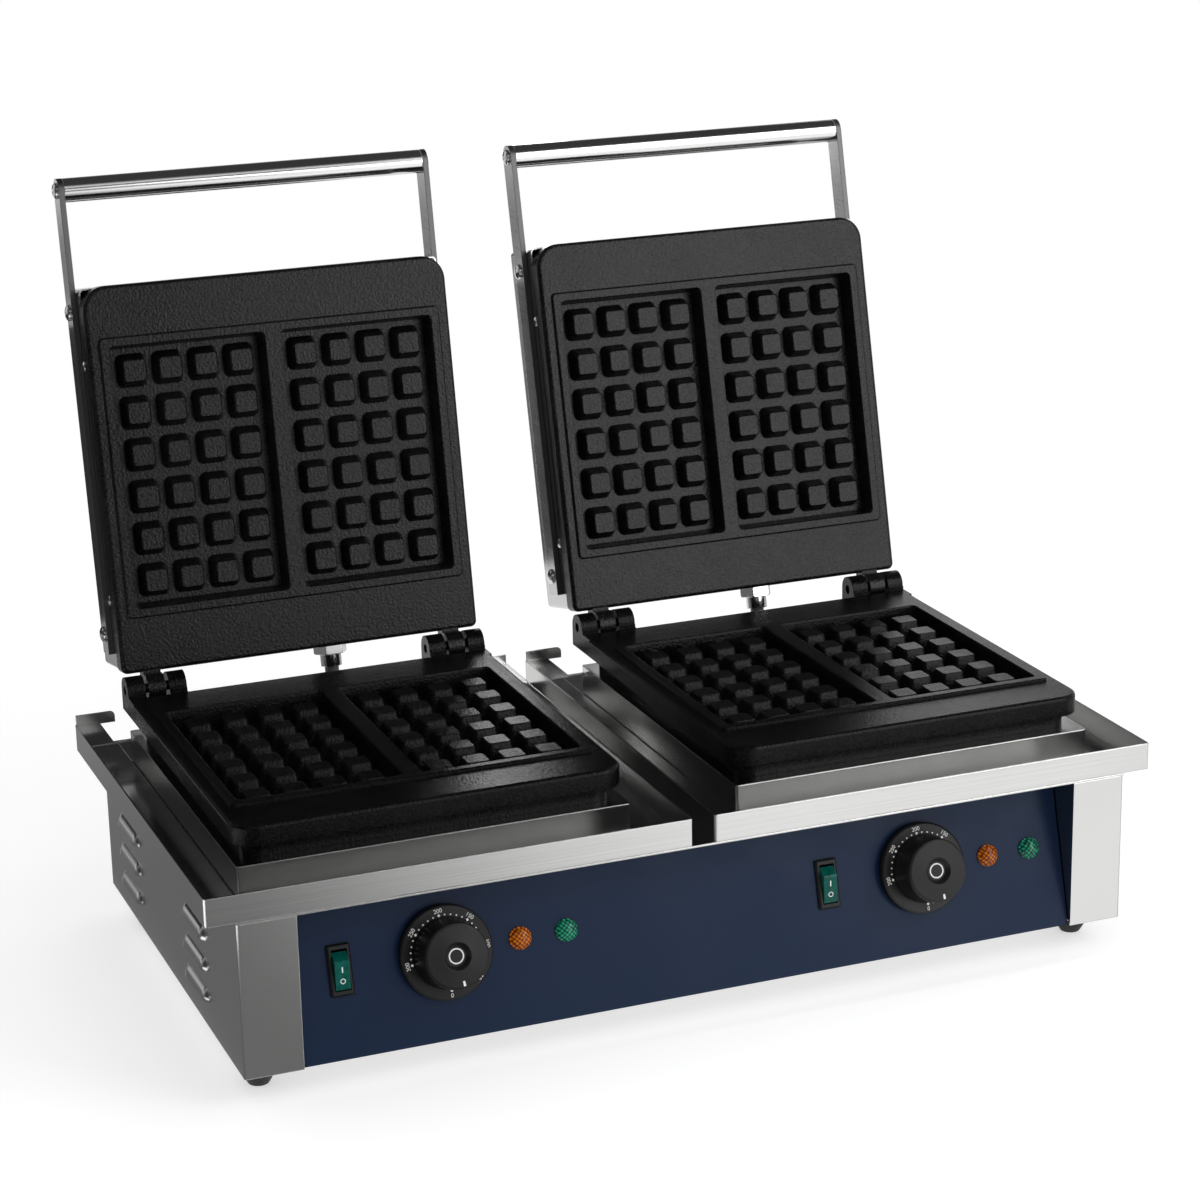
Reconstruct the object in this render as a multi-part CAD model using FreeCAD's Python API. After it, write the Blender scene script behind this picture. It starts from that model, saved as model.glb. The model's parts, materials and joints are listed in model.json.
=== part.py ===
import FreeCAD, Part
import math
import os

os.makedirs("parts", exist_ok=True)
V = FreeCAD.Vector

# Double waffle maker, millimetres. X to the right, Y to the back, Z up from the floor.
# The origin is on the floor below the middle of the whole object as it stands with open lids.

# Housing
base_width = 550.0
base_depth = 308.0
front_to_origin = 188.6
housing_height = 93.0
foot_height = 17.5
sheet = 1.2
cheek_width = 34.0
cheek_return = 30.0
bottom_lip = 30.0
bend_radius = 2.0
bottom_front_gap = 5.0
bottom_room = 0.3
rear_flange = 16.0
rear_flange_lift = 4.0
deck_opening = 140.0
foot_radius = 10.0
foot_rounds = ((6.0, 0.0), (7.6, 2.6), (9.2, 5.6), (9.8, 8.4))
foot_round_top = 11.0
foot_inset_x = 15.8
foot_inset_y = 31.2
foot_recess_radius = 4.6
foot_recess = 2.6
foot_bolt_radius = 2.0
foot_bolt_room = 0.2
foot_bolt_head_radius = 4.2
foot_bolt_head = 2.2
foot_nut_radius = 3.6
foot_nut = 3.2
foot_bolt_end = 1.8

# Vent slots in the rear panel and in the bottom plate
slot_columns = 8
slot_rows = 2
slot_pitch_x = 32.0
slot_pitch_z = 16.0
slot_length = 20.0
slot_width = 5.0
slot_level = 56.0
vent_columns = 9
vent_rows = 3
vent_pitch_x = 48.0
vent_pitch_y = 70.0
vent_length = 30.0
vent_width = 6.0

# Louvres in the sides
louvre_length = 48.0
louvre_bulge_radius = 10.0
louvre_height_out = 3.2
louvre_sheet = 1.2
louvre_front_ends = (70.0, 224.0)
louvre_levels = (17.0, 36.0, 55.0)

# Control panel
panel_slope = 15.1
panel_sheet = 1.5
panel_foot_inset = 2.2
panel_top_gap = 1.05
panel_gap = 0.5
panel_tab = 14.0
panel_tab_foot = 8.0
panel_tab_head = 6.0
control_height = 50.3
switch_from_cheek = 27.1
switch_to_knob = 61.0
knob_to_amber = 45.5
amber_to_green = 28.0
green_from_cheek = 21.6

# Knob
skirt_radius = 27.2
skirt_thickness = 5.6
grip_radius = 20.0
grip_end_radius = 18.9
grip_height = 24.5
grip_round = 1.6
knob_crown = 0.6
knob_edge = 1.0
knob_groove = 0.5
knob_recess_radius = 8.0
knob_recess_slope = 2.4
knob_recess_depth = 2.6
knob_gap = 0.8
knob_face = 4.5
spindle_radius = 3.0
spindle_depth = 22.0
spindle_fit = 0.05
thermostat_size = 36.0
thermostat_depth = 30.0
thermostat_gap = 1.5
thermostat_bush_radius = 4.9
thermostat_bore_end = 2.0
bush_room = 0.3
terminal_tab_width = 6.4
terminal_tab_thickness = 0.8
terminal_tab_length = 9.0
terminal_tab_pitch = 16.0

# Rocker switch
bezel_width = 13.6
bezel_height = 29.4
bezel_rise = 2.6
bezel_edge = 1.2
bezel_slope = 1.0
switch_body_width = 11.2
switch_body_height = 26.6
switch_body_depth = 24.0
switch_cavity = 11.0
switch_tab_pitch = 8.0
rocker_width = 8.4
rocker_room = 0.4
rocker_opening = 23.4
rocker_outline = ((-10.9, 2.9), (-9.2, 3.6), (4.6, 6.4), (5.6, 6.2), (10.3, 1.6), (9.6, -2.4),
                  (3.0, -7.0), (-3.0, -7.0), (-10.4, -3.6))
rocker_pivot = -3.0
trunnion_radius = 1.5
trunnion_fit = 0.06
trunnion_end_room = 0.1
cutout_room = 0.2

# Lamps
lamp_rim_radius = 6.6
lamp_rim = 1.6
lamp_rim_edge = 0.5
lamp_dome_radius = 5.9
lamp_rise = 5.2
lamp_body_radius = 5.0
lamp_body_depth = 18.0

# Trays and plinths
tray_channel = 26.0
tray_spacing = 13.2
tray_rear_gap = 2.0
tray_wall = 16.4
tray_sheet = 1.0
tray_lift = 0.2
tray_gap = 0.6
tray_ledge = 42.0
tray_lip = 6.2
tray_lip_width = 25.0
tray_notch_width = 11.0
tray_notch_front = 3.5
tray_tip_radius = 3.0
tray_corner = 1.8
plinth_side = 0.2
plinth_ahead = 2.7
plinth_behind = 2.3
plinth_height = 20.0
plinth_corner = 1.5
plinth_rim = 21.0

# Cast plates
plate_side_border = 7.0
plate_front_border = 31.5
plate_rear_border = 34.0
plate_front = 32.0
deck_behind_plate = 38.0
plate_corner = 15.0
plate_rear_corner = 4.0
plate_edge = 2.5
frame_contact_gap = 0.3
frame_rise = 1.85
lip_thickness = 12.0
body_inset = 7.0
lower_body_depth = 23.4
upper_body_depth = 22.0
body_corner = 10.0
frame_rim_x = 5.5
frame_rim_y = 5.35
frame_chamfer = 0.8
frame_corner = 3.0
field_width = 98.5
field_bar = 10.0
field_depth = 13.0
field_draft = 2.4
field_corner = 3.0
stud_columns = 4
stud_rows = 6
stud_margin_x = 4.25
stud_margin_y = 3.2
stud_top_x = 13.0
stud_top_y = 12.6
stud_base_x = 19.4
stud_base_y = 20.8
stud_height = 10.0
stud_edge = 1.0

# Hinges
hinge_back = 9.5
barrel_radius = 8.5
ear_width = 11.0
ear_root = 12.0
ear_step = 0.2
knuckle_width = 11.0
knuckle_root = 6.0
neck_top = 2.4
neck_low = 12.0
knuckle_room = 2.0
pin_radius = 3.0
pin_fit = 0.06
pin_recess = 1.5
lid_angle_left = 100.5
lid_angle_right = 103.5

# Lid
cover_inset = 1.0
cover_gap = 0.3
cover_height = 55.0
cover_sheet = 1.0
cover_corner = 3.0
cover_edge = 2.0
arm_level = 30.5
arm_width = 15.0
arm_thickness = 3.5
arm_gap = 0.1
arm_rear_inset = 11.0
bolt_front = 15.0
bolt_rear_inset = 23.0
bolt_radius = 2.5
bolt_room = 0.2
bolt_end = 1.5
bolt_head_radius = 5.0
bolt_head = 2.8
nut_radius = 4.6
nut_height = 3.6
handle_reach = 59.4
handle_radius = 7.5
handle_bore = 6.0
handle_plug = 8.0
rivet_radius = 3.0
rivet_room = 0.1
rivet_head_radius = 5.0
rivet_head = 2.6
cover_screw_front = 48.0
cover_screw_rear_inset = 45.0
cover_screw_level = 18.0
cover_screw_radius = 2.0
cover_screw_room = 0.2
cover_screw_grip = 8.0
cover_screw_end = 1.0
cover_screw_head_radius = 3.4
cover_screw_head = 1.8
gland_x = 25.0
gland_hex = 19.0
gland_length = 9.0
gland_thread_radius = 6.0
gland_thread_room = 0.2
gland_thread = 6.0
gland_nut = 4.0
gland_chamfer = 0.8
gland_collar_radius = 6.9
gland_collar = 8.0
lead_radius = 4.5
lead_room = 0.2
lead_inside = 12.0
lead_straight = 8.0
lead_drop = 45.0
lead_arc_share = 0.45
bushing_from_rear = 11.5
bushing_radius = 9.0
bushing_rise = 2.5
bushing_edge = 1.0
bushing_grip = 4.0
bushing_bore_room = 0.5
bushing_neck_radius = 6.5
bushing_room = 0.3

# Heaters
heater_radius = 4.0
heater_runs = 4
heater_inset_x = 32.0
heater_inset_y = 33.0
heater_bend = 16.0
heater_gap = 0.1
clamp_half_y = 60.0
clamp_sheet = 2.0
clamp_post_radius = 5.0
clamp_post_y = 40.0

# Rear inlet and terminals
mains_x = -200.0
mains_level = 35.0
mains_thread_radius = 8.0
mains_thread_room = 0.2
mains_thread = 8.0
mains_hex = 22.0
mains_hex_length = 7.0
mains_nut = 4.0
mains_nose = 9.0
mains_nose_radius = 9.5
mains_nose_end_radius = 6.5
mains_bore = 4.0
terminal_width = 44.0
terminal_depth = 22.0
terminal_height = 18.0
terminal_from_rear = 80.0
terminal_count = 3
terminal_pitch = 14.0
terminal_bore = 2.5
terminal_bore_level = 7.0
terminal_screw = 2.2
terminal_screw_depth = 8.0

# Sizes, levels and lines that follow from the values above
frame_width = 2 * field_width + field_bar + 2 * frame_rim_x
plate_depth = base_depth - plate_front - deck_behind_plate
frame_length = plate_depth - plate_front_border - plate_rear_border
field_length = frame_length - 2 * frame_rim_y
plate_width = frame_width + 2 * plate_side_border
plinth_width = plate_width + 2 * plinth_side
plinth_depth = plinth_ahead + plate_depth + plinth_behind
tray_width = plinth_width + 2 * (tray_gap + tray_channel)
tray_depth = base_depth - tray_rear_gap
unit_x = (tray_width + tray_spacing) / 2.0
bolt_positions = (bolt_front, plate_depth - bolt_rear_inset)
cover_screw_positions = (cover_screw_front, plate_depth - cover_screw_rear_inset)
y_front = -front_to_origin
y_rear = y_front + base_depth
y_middle = y_front + base_depth / 2.0
x_side = base_width / 2.0
z_base = foot_height
z_bottom = z_base + sheet
mains_height = z_base + mains_level
z_deck = z_base + housing_height
z_under_deck = z_deck - sheet
z_plinth = z_deck + plinth_height
z_contact = z_plinth + lower_body_depth
tray_floor = z_deck + tray_lift
tray_rim = tray_floor + tray_wall
y_plate = y_front + plate_front
plate_middle = y_plate + plate_depth / 2.0
bushing_y = y_rear - bushing_from_rear
hinge_y = y_plate + plate_depth + hinge_back
cheek_x = x_side - cheek_width
amber_reach = switch_to_knob + knob_to_amber
green_reach = amber_reach + amber_to_green
switch_places = {"left": -cheek_x + switch_from_cheek, "right": cheek_x - green_from_cheek - green_reach}


def box(x0, x1, y0, y1, z0, z1):
    return Part.makeBox(x1 - x0, y1 - y0, z1 - z0, V(x0, y0, z0))


def disc(point, direction, radius, height):
    return Part.makeCylinder(radius, height, V(*point), V(*direction))


def prism(points, sweep):
    corners = [V(*p) for p in points]
    face = Part.Face(Part.makePolygon(corners + [corners[0]]))
    return face.extrude(V(*sweep))


def turned(points):
    # A body of revolution about Z from a closed outline of (radius, height) points.
    corners = [V(r, 0.0, h) for r, h in points]
    face = Part.Face(Part.makePolygon(corners + [corners[0]]))
    return face.revolve(V(0, 0, 0), V(0, 0, 1), 360.0)


def rounded_outline(x0, x1, y0, y1, z, front_radius, rear_radius):
    k = math.sqrt(0.5)
    f = front_radius
    r = rear_radius
    edges = []
    stops = (
        (V(x0 + f, y0, z), V(x1 - f, y0, z), V(x1 - f, y0 + f, z), f, (k, -k), V(x1, y0 + f, z)),
        (V(x1, y0 + f, z), V(x1, y1 - r, z), V(x1 - r, y1 - r, z), r, (k, k), V(x1 - r, y1, z)),
        (V(x1 - r, y1, z), V(x0 + r, y1, z), V(x0 + r, y1 - r, z), r, (-k, k), V(x0, y1 - r, z)),
        (V(x0, y1 - r, z), V(x0, y0 + f, z), V(x0 + f, y0 + f, z), f, (-k, -k), V(x0 + f, y0, z)),
    )
    for start, end, centre, radius, way, after in stops:
        edges.append(Part.makeLine(start, end))
        middle = centre + V(way[0] * radius, way[1] * radius, 0.0)
        edges.append(Part.Arc(end, middle, after).toShape())
    return Part.Wire(edges)


def rounded_prism(x0, x1, y0, y1, z0, z1, front_radius, rear_radius):
    wire = rounded_outline(x0, x1, y0, y1, z0, front_radius, rear_radius)
    return Part.Face(wire).extrude(V(0, 0, z1 - z0))


def frustum(cx, cy, sections):
    # Straight-sided block with rounded corners through (half x, half y, z, corner radius) sections.
    wires = []
    for hx, hy, z, radius in sections:
        wires.append(rounded_outline(cx - hx, cx + hx, cy - hy, cy + hy, z, radius, radius))
    return Part.makeLoft(wires, True, True)


def edges_where(shape, test):
    return [edge for edge in shape.Edges if test(edge)]


def mirror_x(shape):
    return shape.mirror(V(0, 0, 0), V(1, 0, 0))


def moved(shape, x, y, z):
    copy = shape.copy()
    copy.translate(V(x, y, z))
    return copy


def bent_tube(points, bends, radius, first_way):
    # A round rod along straight runs in one plane, each corner rounded by its own bend radius.
    edges = []
    start = V(*points[0])
    for before, corner, after, bend in zip(points, points[1:], points[2:], bends):
        c = V(*corner)
        a = (V(*before) - c).normalize()
        b = (V(*after) - c).normalize()
        half = a.getAngle(b) / 2.0
        reach = bend / math.tan(half)
        p = c + a * reach
        q = c + b * reach
        bisector = (a + b).normalize()
        middle = c + bisector * (bend / math.sin(half) - bend)
        edges.append(Part.makeLine(start, p))
        edges.append(Part.Arc(p, middle, q).toShape())
        start = q
    edges.append(Part.makeLine(start, V(*points[-1])))
    profile = Part.Wire([Part.makeCircle(radius, V(*points[0]), V(*first_way))])
    return Part.Wire(edges).makePipeShell([profile], True, False)


def save(name, shape):
    shape.exportStep("parts/" + name + ".step")


def save_group(name, shapes):
    save(name, Part.makeCompound(shapes))


# Control panel frame: u to the right, v up the slope, w out of the panel
slope = math.radians(panel_slope)
panel_length = (housing_height - sheet - panel_top_gap) / math.cos(slope)
panel_origin = V(0.0, y_front + panel_foot_inset, z_base)
panel_turn = FreeCAD.Rotation(V(1, 0, 0), V(0, math.sin(slope), math.cos(slope)),
                              V(0, -math.cos(slope), math.sin(slope)), "XYZ")


def on_panel(shape, u=0.0, v=0.0):
    placed = shape.copy()
    placed.translate(V(u, v, 0.0))
    placed.Placement = FreeCAD.Placement(panel_origin, panel_turn).multiply(placed.Placement)
    return placed


def open_lid(shape, angle):
    turned_shape = shape.copy()
    turned_shape.rotate(V(0, hinge_y, z_contact), V(1, 0, 0), -angle)
    return turned_shape


foot_hole = foot_bolt_radius + foot_bolt_room


# Side panels
def louvre_capsule(radius, y_end, level):
    centre_x = -x_side + louvre_bulge_radius - louvre_height_out
    flat = math.sqrt(louvre_bulge_radius ** 2 - (louvre_bulge_radius - louvre_height_out) ** 2)
    y0 = y_end + flat
    y1 = y_end + louvre_length - flat
    rod = disc((centre_x, y0, level), (0, 1, 0), radius, y1 - y0)
    return rod.fuse([Part.makeSphere(radius, V(centre_x, y0, level)),
                     Part.makeSphere(radius, V(centre_x, y1, level))])


def side_panel():
    wall = box(-x_side, -x_side + sheet, y_front, y_rear, z_base, z_under_deck)
    front = box(-x_side, -cheek_x, y_front, y_front + sheet, z_base, z_under_deck)
    inner = box(-cheek_x - sheet, -cheek_x, y_front, y_front + cheek_return, z_bottom + sheet, z_under_deck)
    foot = box(-x_side, -x_side + bottom_lip, y_front, y_rear - sheet, z_base, z_base + sheet)
    panel = wall.fuse([front, inner, foot]).removeSplitter()
    corner = edges_where(panel, lambda e: abs(e.CenterOfMass.x + x_side) < 0.01
                         and abs(e.CenterOfMass.y - y_front) < 0.01 and e.Length > housing_height / 2)
    panel = panel.makeFillet(bend_radius, corner)
    hoods = []
    for y_end in louvre_front_ends:
        for level in louvre_levels:
            z = z_base + level
            outer = louvre_capsule(louvre_bulge_radius, y_front + y_end, z)
            inner = louvre_capsule(louvre_bulge_radius - louvre_sheet, y_front + y_end, z)
            keep = box(-x_side - louvre_bulge_radius, -x_side + sheet, y_front, y_rear,
                       z, z + 2 * louvre_bulge_radius)
            hoods.append(outer.common(keep).cut(inner))
            panel = panel.cut(inner.common(keep))
    panel = panel.fuse(hoods).removeSplitter()
    for y in (y_front + foot_inset_y, y_rear - foot_inset_y):
        panel = panel.cut(disc((-x_side + foot_inset_x, y, 0), (0, 0, 1), foot_hole, 3 * z_base))
    return panel


left_side = side_panel()
save("side_panel_left", left_side)
save("side_panel_right", mirror_x(left_side))

# Rear panel with its side flanges, vent slots and inlet hole
inner_x = x_side - sheet
rear = box(-inner_x, inner_x, y_rear - sheet, y_rear, z_base, z_under_deck)
for sign in (-1, 1):
    x0 = sign * inner_x
    x1 = sign * (inner_x - sheet)
    rear = rear.fuse(box(min(x0, x1), max(x0, x1), y_rear - rear_flange, y_rear,
                         z_base + rear_flange_lift, z_under_deck))


def slot(length, width, height):
    # A flat slot with nearly round ends, centred on the origin and lying in the XY plane.
    end = 0.48 * width
    return rounded_prism(-length / 2, length / 2, -width / 2, width / 2, -height / 2, height / 2, end, end)


slots = []
for column in range(slot_columns):
    for row in range(slot_rows):
        x = (column - (slot_columns - 1) / 2) * slot_pitch_x
        z = z_base + slot_level + (row - (slot_rows - 1) / 2) * slot_pitch_z
        upright = slot(slot_length, slot_width, 4 * sheet)
        upright.rotate(V(0, 0, 0), V(1, 0, 0), 90.0)
        slots.append(moved(upright, x, y_rear, z))
slots.append(disc((mains_x, y_rear - 3 * sheet, mains_height), (0, 1, 0),
                  mains_thread_radius + mains_thread_room, 6 * sheet))
save("rear_panel", rear.removeSplitter().cut(slots))

# Bottom plate resting on the lips of the sides
bottom = box(-inner_x + bottom_room, inner_x - bottom_room, y_front + bottom_front_gap,
             y_rear - sheet - bottom_room, z_bottom, z_bottom + sheet)
vents = []
for column in range(vent_columns):
    for row in range(vent_rows):
        x = (column - (vent_columns - 1) / 2) * vent_pitch_x
        y = y_middle + (row - (vent_rows - 1) / 2) * vent_pitch_y
        vents.append(moved(slot(vent_length, vent_width, 4 * sheet), x, y, z_bottom + sheet / 2))
foot_places = []
for sign in (-1, 1):
    for y in (y_front + foot_inset_y, y_rear - foot_inset_y):
        foot_places.append((sign * (x_side - foot_inset_x), y))
for x, y in foot_places:
    vents.append(disc((x, y, 0), (0, 0, 1), foot_hole, 3 * z_base))
save("bottom_plate", bottom.cut(vents))

# Feet and the bolts that hold them
foot = turned([(foot_hole, foot_recess), (foot_recess_radius, foot_recess), (foot_recess_radius, 0.0)]
              + list(foot_rounds)
              + [(foot_radius, foot_round_top), (foot_radius, foot_height), (foot_hole, foot_height)])
nut_floor = z_bottom + sheet
nut_top = nut_floor + foot_nut
bolt_top = nut_top + foot_bolt_end
bolt = turned([(0.0, foot_recess - foot_bolt_head), (foot_bolt_head_radius, foot_recess - foot_bolt_head),
               (foot_bolt_head_radius, foot_recess), (foot_bolt_radius, foot_recess),
               (foot_bolt_radius, nut_floor), (foot_nut_radius, nut_floor), (foot_nut_radius, nut_top),
               (foot_bolt_radius, nut_top), (foot_bolt_radius, bolt_top), (0.0, bolt_top)])
save_group("feet", [moved(foot, x, y, 0.0) for x, y in foot_places])
save_group("foot_bolts", [moved(bolt, x, y, 0.0) for x, y in foot_places])

# Top deck with an opening under each plinth and a hole for each lid lead
deck = box(-x_side, x_side, y_front, y_rear, z_under_deck, z_deck)
for sign in (-1, 1):
    x = sign * unit_x
    reach = deck_opening / 2
    deck = deck.cut(box(x - reach, x + reach, plate_middle - reach, plate_middle + reach,
                        z_under_deck - sheet, z_deck + sheet))
    deck = deck.cut(disc((x + gland_x, bushing_y, z_under_deck - sheet), (0, 0, 1),
                         bushing_neck_radius + bushing_room, 3 * sheet))
save("top_deck", deck)

bushing_bore = lead_radius + bushing_bore_room
bushing_low = z_under_deck - bushing_grip
bushing_top = z_deck + bushing_rise
bushing = turned([(bushing_bore, bushing_low), (bushing_radius - bushing_edge, bushing_low),
                  (bushing_radius - bushing_edge, z_under_deck), (bushing_neck_radius, z_under_deck),
                  (bushing_neck_radius, z_deck), (bushing_radius, z_deck),
                  (bushing_radius, bushing_top - bushing_edge), (bushing_radius - bushing_edge, bushing_top),
                  (bushing_bore, bushing_top)])
save_group("deck_bushings", [moved(bushing, sign * unit_x + gland_x, bushing_y, 0.0) for sign in (-1, 1)])

# Control panel
panel_half = cheek_x - panel_gap
panel = box(-panel_half, panel_half, 0.0, panel_length, -panel_sheet, 0.0)
for sign in (-1, 1):
    x0 = sign * panel_half
    x1 = sign * (panel_half - panel_sheet)
    panel = panel.fuse(box(min(x0, x1), max(x0, x1), panel_tab_foot, panel_length - panel_tab_head,
                           -panel_tab, 0.0))
panel = panel.removeSplitter()
holes = []
below = -2 * panel_sheet
through = 4 * panel_sheet
half_w = switch_body_width / 2 + cutout_room
half_h = switch_body_height / 2 + cutout_room
for u in switch_places.values():
    holes.append(box(u - half_w, u + half_w, control_height - half_h, control_height + half_h,
                     below, through + below))
    holes.append(disc((u + switch_to_knob, control_height, below), (0, 0, 1),
                      thermostat_bush_radius + bush_room, through))
    for reach in (amber_reach, green_reach):
        holes.append(disc((u + reach, control_height, below), (0, 0, 1),
                          lamp_body_radius + cutout_room, through))
save("control_panel", on_panel(panel.cut(holes)))

# Knob, spindle and thermostat, about the panel's outward direction
ring_top = knob_gap + skirt_thickness
groove_radius = grip_radius + knob_groove
recess_floor = grip_height + knob_crown - knob_recess_depth
spindle_end = grip_height - knob_face
knob = turned([(spindle_radius, knob_gap), (skirt_radius, knob_gap), (skirt_radius, ring_top - knob_edge),
               (skirt_radius - knob_edge, ring_top), (groove_radius, ring_top),
               (groove_radius, ring_top - knob_groove), (grip_radius, ring_top - knob_groove),
               (grip_radius, ring_top), (grip_end_radius, grip_height - grip_round),
               (grip_end_radius - 0.3 * grip_round, grip_height - 0.3 * grip_round),
               (grip_end_radius - grip_round, grip_height), (knob_recess_radius, grip_height + knob_crown),
               (knob_recess_radius - knob_recess_slope, recess_floor), (0.0, recess_floor),
               (0.0, spindle_end),
               (spindle_radius, spindle_end)])
spindle = disc((0, 0, -spindle_depth), (0, 0, 1), spindle_radius, spindle_depth + spindle_end)
body_front = -panel_sheet - thermostat_gap
body_back = -panel_sheet - thermostat_depth
half = thermostat_size / 2
thermostat = box(-half, half, -half, half, body_back, body_front)
thermostat = thermostat.fuse(disc((0, 0, body_front - 0.5), (0, 0, 1),
                                  thermostat_bush_radius, 0.5 - body_front))
bore_depth = spindle_depth + thermostat_bore_end
thermostat = thermostat.cut(disc((0, 0, -bore_depth), (0, 0, 1),
                                 spindle_radius + spindle_fit, bore_depth + 1.0))


def terminal_tab(u, v, back):
    half_w = terminal_tab_width / 2
    half_t = terminal_tab_thickness / 2
    return box(u - half_w, u + half_w, v - half_t, v + half_t, back - terminal_tab_length, back + 1.0)


for sign in (-1, 1):
    thermostat = thermostat.fuse(terminal_tab(sign * terminal_tab_pitch / 2, 0.0, body_back))

# Switch housing and rocker
hw = rocker_width / 2
room = hw + rocker_room
opening = rocker_opening / 2
bezel = frustum(0.0, 0.0, [(bezel_width / 2, bezel_height / 2, 0.0, bezel_edge),
                           (bezel_width / 2, bezel_height / 2, bezel_rise / 2, bezel_edge),
                           (bezel_width / 2 - bezel_slope, bezel_height / 2 - bezel_slope, bezel_rise,
                            bezel_edge - 0.4)])
housing = bezel.fuse(box(-switch_body_width / 2, switch_body_width / 2, -switch_body_height / 2,
                         switch_body_height / 2, -switch_body_depth, 0.0))
housing = housing.cut(box(-room, room, -opening, opening, -switch_cavity, 2 * bezel_rise))
housing = housing.removeSplitter()
for step in (-1, 0, 1):
    housing = housing.fuse(terminal_tab(0.0, step * switch_tab_pitch, -switch_body_depth))
trunnion_reach = switch_body_width / 2 - trunnion_end_room
bore = disc((-bezel_width, 0.0, rocker_pivot), (1, 0, 0), trunnion_radius + trunnion_fit, 2 * bezel_width)
housing = housing.cut(bore)
rocker = prism([(-hw, v, w) for v, w in rocker_outline], (rocker_width, 0, 0))
rocker = rocker.fuse(disc((-trunnion_reach, 0.0, rocker_pivot), (1, 0, 0),
                          trunnion_radius, 2 * trunnion_reach))

# Lamps
lamp_outline = [(0.0, -lamp_body_depth), (lamp_body_radius, -lamp_body_depth), (lamp_body_radius, 0.0),
                (lamp_rim_radius, 0.0), (lamp_rim_radius, lamp_rim - lamp_rim_edge),
                (lamp_rim_radius - lamp_rim_edge, lamp_rim),
                (lamp_dome_radius, lamp_rim)]
dome_steps = 6
for step in range(1, dome_steps):
    a = math.pi / 2 * step / dome_steps
    lamp_outline.append((lamp_dome_radius * math.cos(a), lamp_rim + (lamp_rise - lamp_rim) * math.sin(a)))
lamp_outline.append((0.0, lamp_rise))
lamp = turned(lamp_outline)

units = (("left", -unit_x, lid_angle_left), ("right", unit_x, lid_angle_right))
for side, u in switch_places.items():
    save("knob_" + side, on_panel(knob, u + switch_to_knob, control_height))
    save("knob_spindle_" + side, on_panel(spindle, u + switch_to_knob, control_height))
    save("thermostat_" + side, on_panel(thermostat, u + switch_to_knob, control_height))
    save("switch_housing_" + side, on_panel(housing, u, control_height))
    save("rocker_" + side, on_panel(rocker, u, control_height))
for name, reach in (("amber_lamps", amber_reach), ("green_lamps", green_reach)):
    save_group(name, [on_panel(lamp, u + reach, control_height) for u in switch_places.values()])

# Plinths
half_p = plinth_width / 2
y_plinth = y_plate - plinth_ahead
y_plinth_end = y_plinth + plinth_depth
plinth = rounded_prism(-half_p, half_p, y_plinth, y_plinth_end, z_deck, z_plinth,
                       plinth_corner, plinth_corner)
hollow = box(-half_p + sheet, half_p - sheet, y_plinth + sheet, y_plinth_end - sheet, z_deck - 1.0,
             z_plinth - sheet)
window = box(-plate_width / 2 + plinth_rim, plate_width / 2 - plinth_rim, y_plate + plinth_rim,
             y_plate + plate_depth - plinth_rim, z_deck, z_plinth + 1.0)
plinth = plinth.cut([hollow, window])

# Drip tray: floor on three sides of the plinth, walls outside, ledges and lips at the rear corners
half_t = tray_width / 2
channel = half_p + tray_gap
y_tray = y_front
y_tray_end = y_front + tray_depth
tray = rounded_prism(-half_t, half_t, y_tray, y_tray_end, tray_floor, tray_rim, tray_corner,
                     tray_sheet / 2)
room_inside = rounded_prism(-half_t + tray_sheet, half_t - tray_sheet, y_tray + tray_sheet, y_tray_end + 5.0,
                            tray_floor + tray_sheet, tray_rim + 5.0, tray_corner - tray_sheet,
                            tray_corner - tray_sheet)
cut_rear = box(-channel, channel, y_plinth - tray_gap, y_tray_end + 5.0, tray_floor - 5.0, tray_rim + 5.0)
tray = tray.cut([room_inside, cut_rear])
ledges = []
for sign in (-1, 1):
    y_ledge = y_tray_end - tray_ledge
    outer_x = sign * (half_t - tray_sheet / 2)
    inner_edge = sign * channel
    notch_edge = sign * (channel + tray_notch_width)
    lip_edge = sign * (half_t - tray_lip_width)
    z_under = tray_rim - tray_sheet
    ledges.append(box(min(outer_x, notch_edge), max(outer_x, notch_edge), y_ledge, y_tray_end,
                      z_under, tray_rim))
    ledges.append(box(min(inner_edge, outer_x), max(inner_edge, outer_x), y_ledge,
                      y_ledge + tray_notch_front, z_under, tray_rim))
    lip = box(min(outer_x, lip_edge), max(outer_x, lip_edge), y_tray_end - tray_sheet, y_tray_end,
              z_under, tray_rim + tray_lip)
    tip = edges_where(lip, lambda e: abs(e.CenterOfMass.x - lip_edge) < 0.01
                      and abs(e.CenterOfMass.z - tray_rim - tray_lip) < 0.01)
    ledges.append(lip.makeFillet(tray_tip_radius, tip))
tray = tray.fuse(ledges).removeSplitter()


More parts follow.
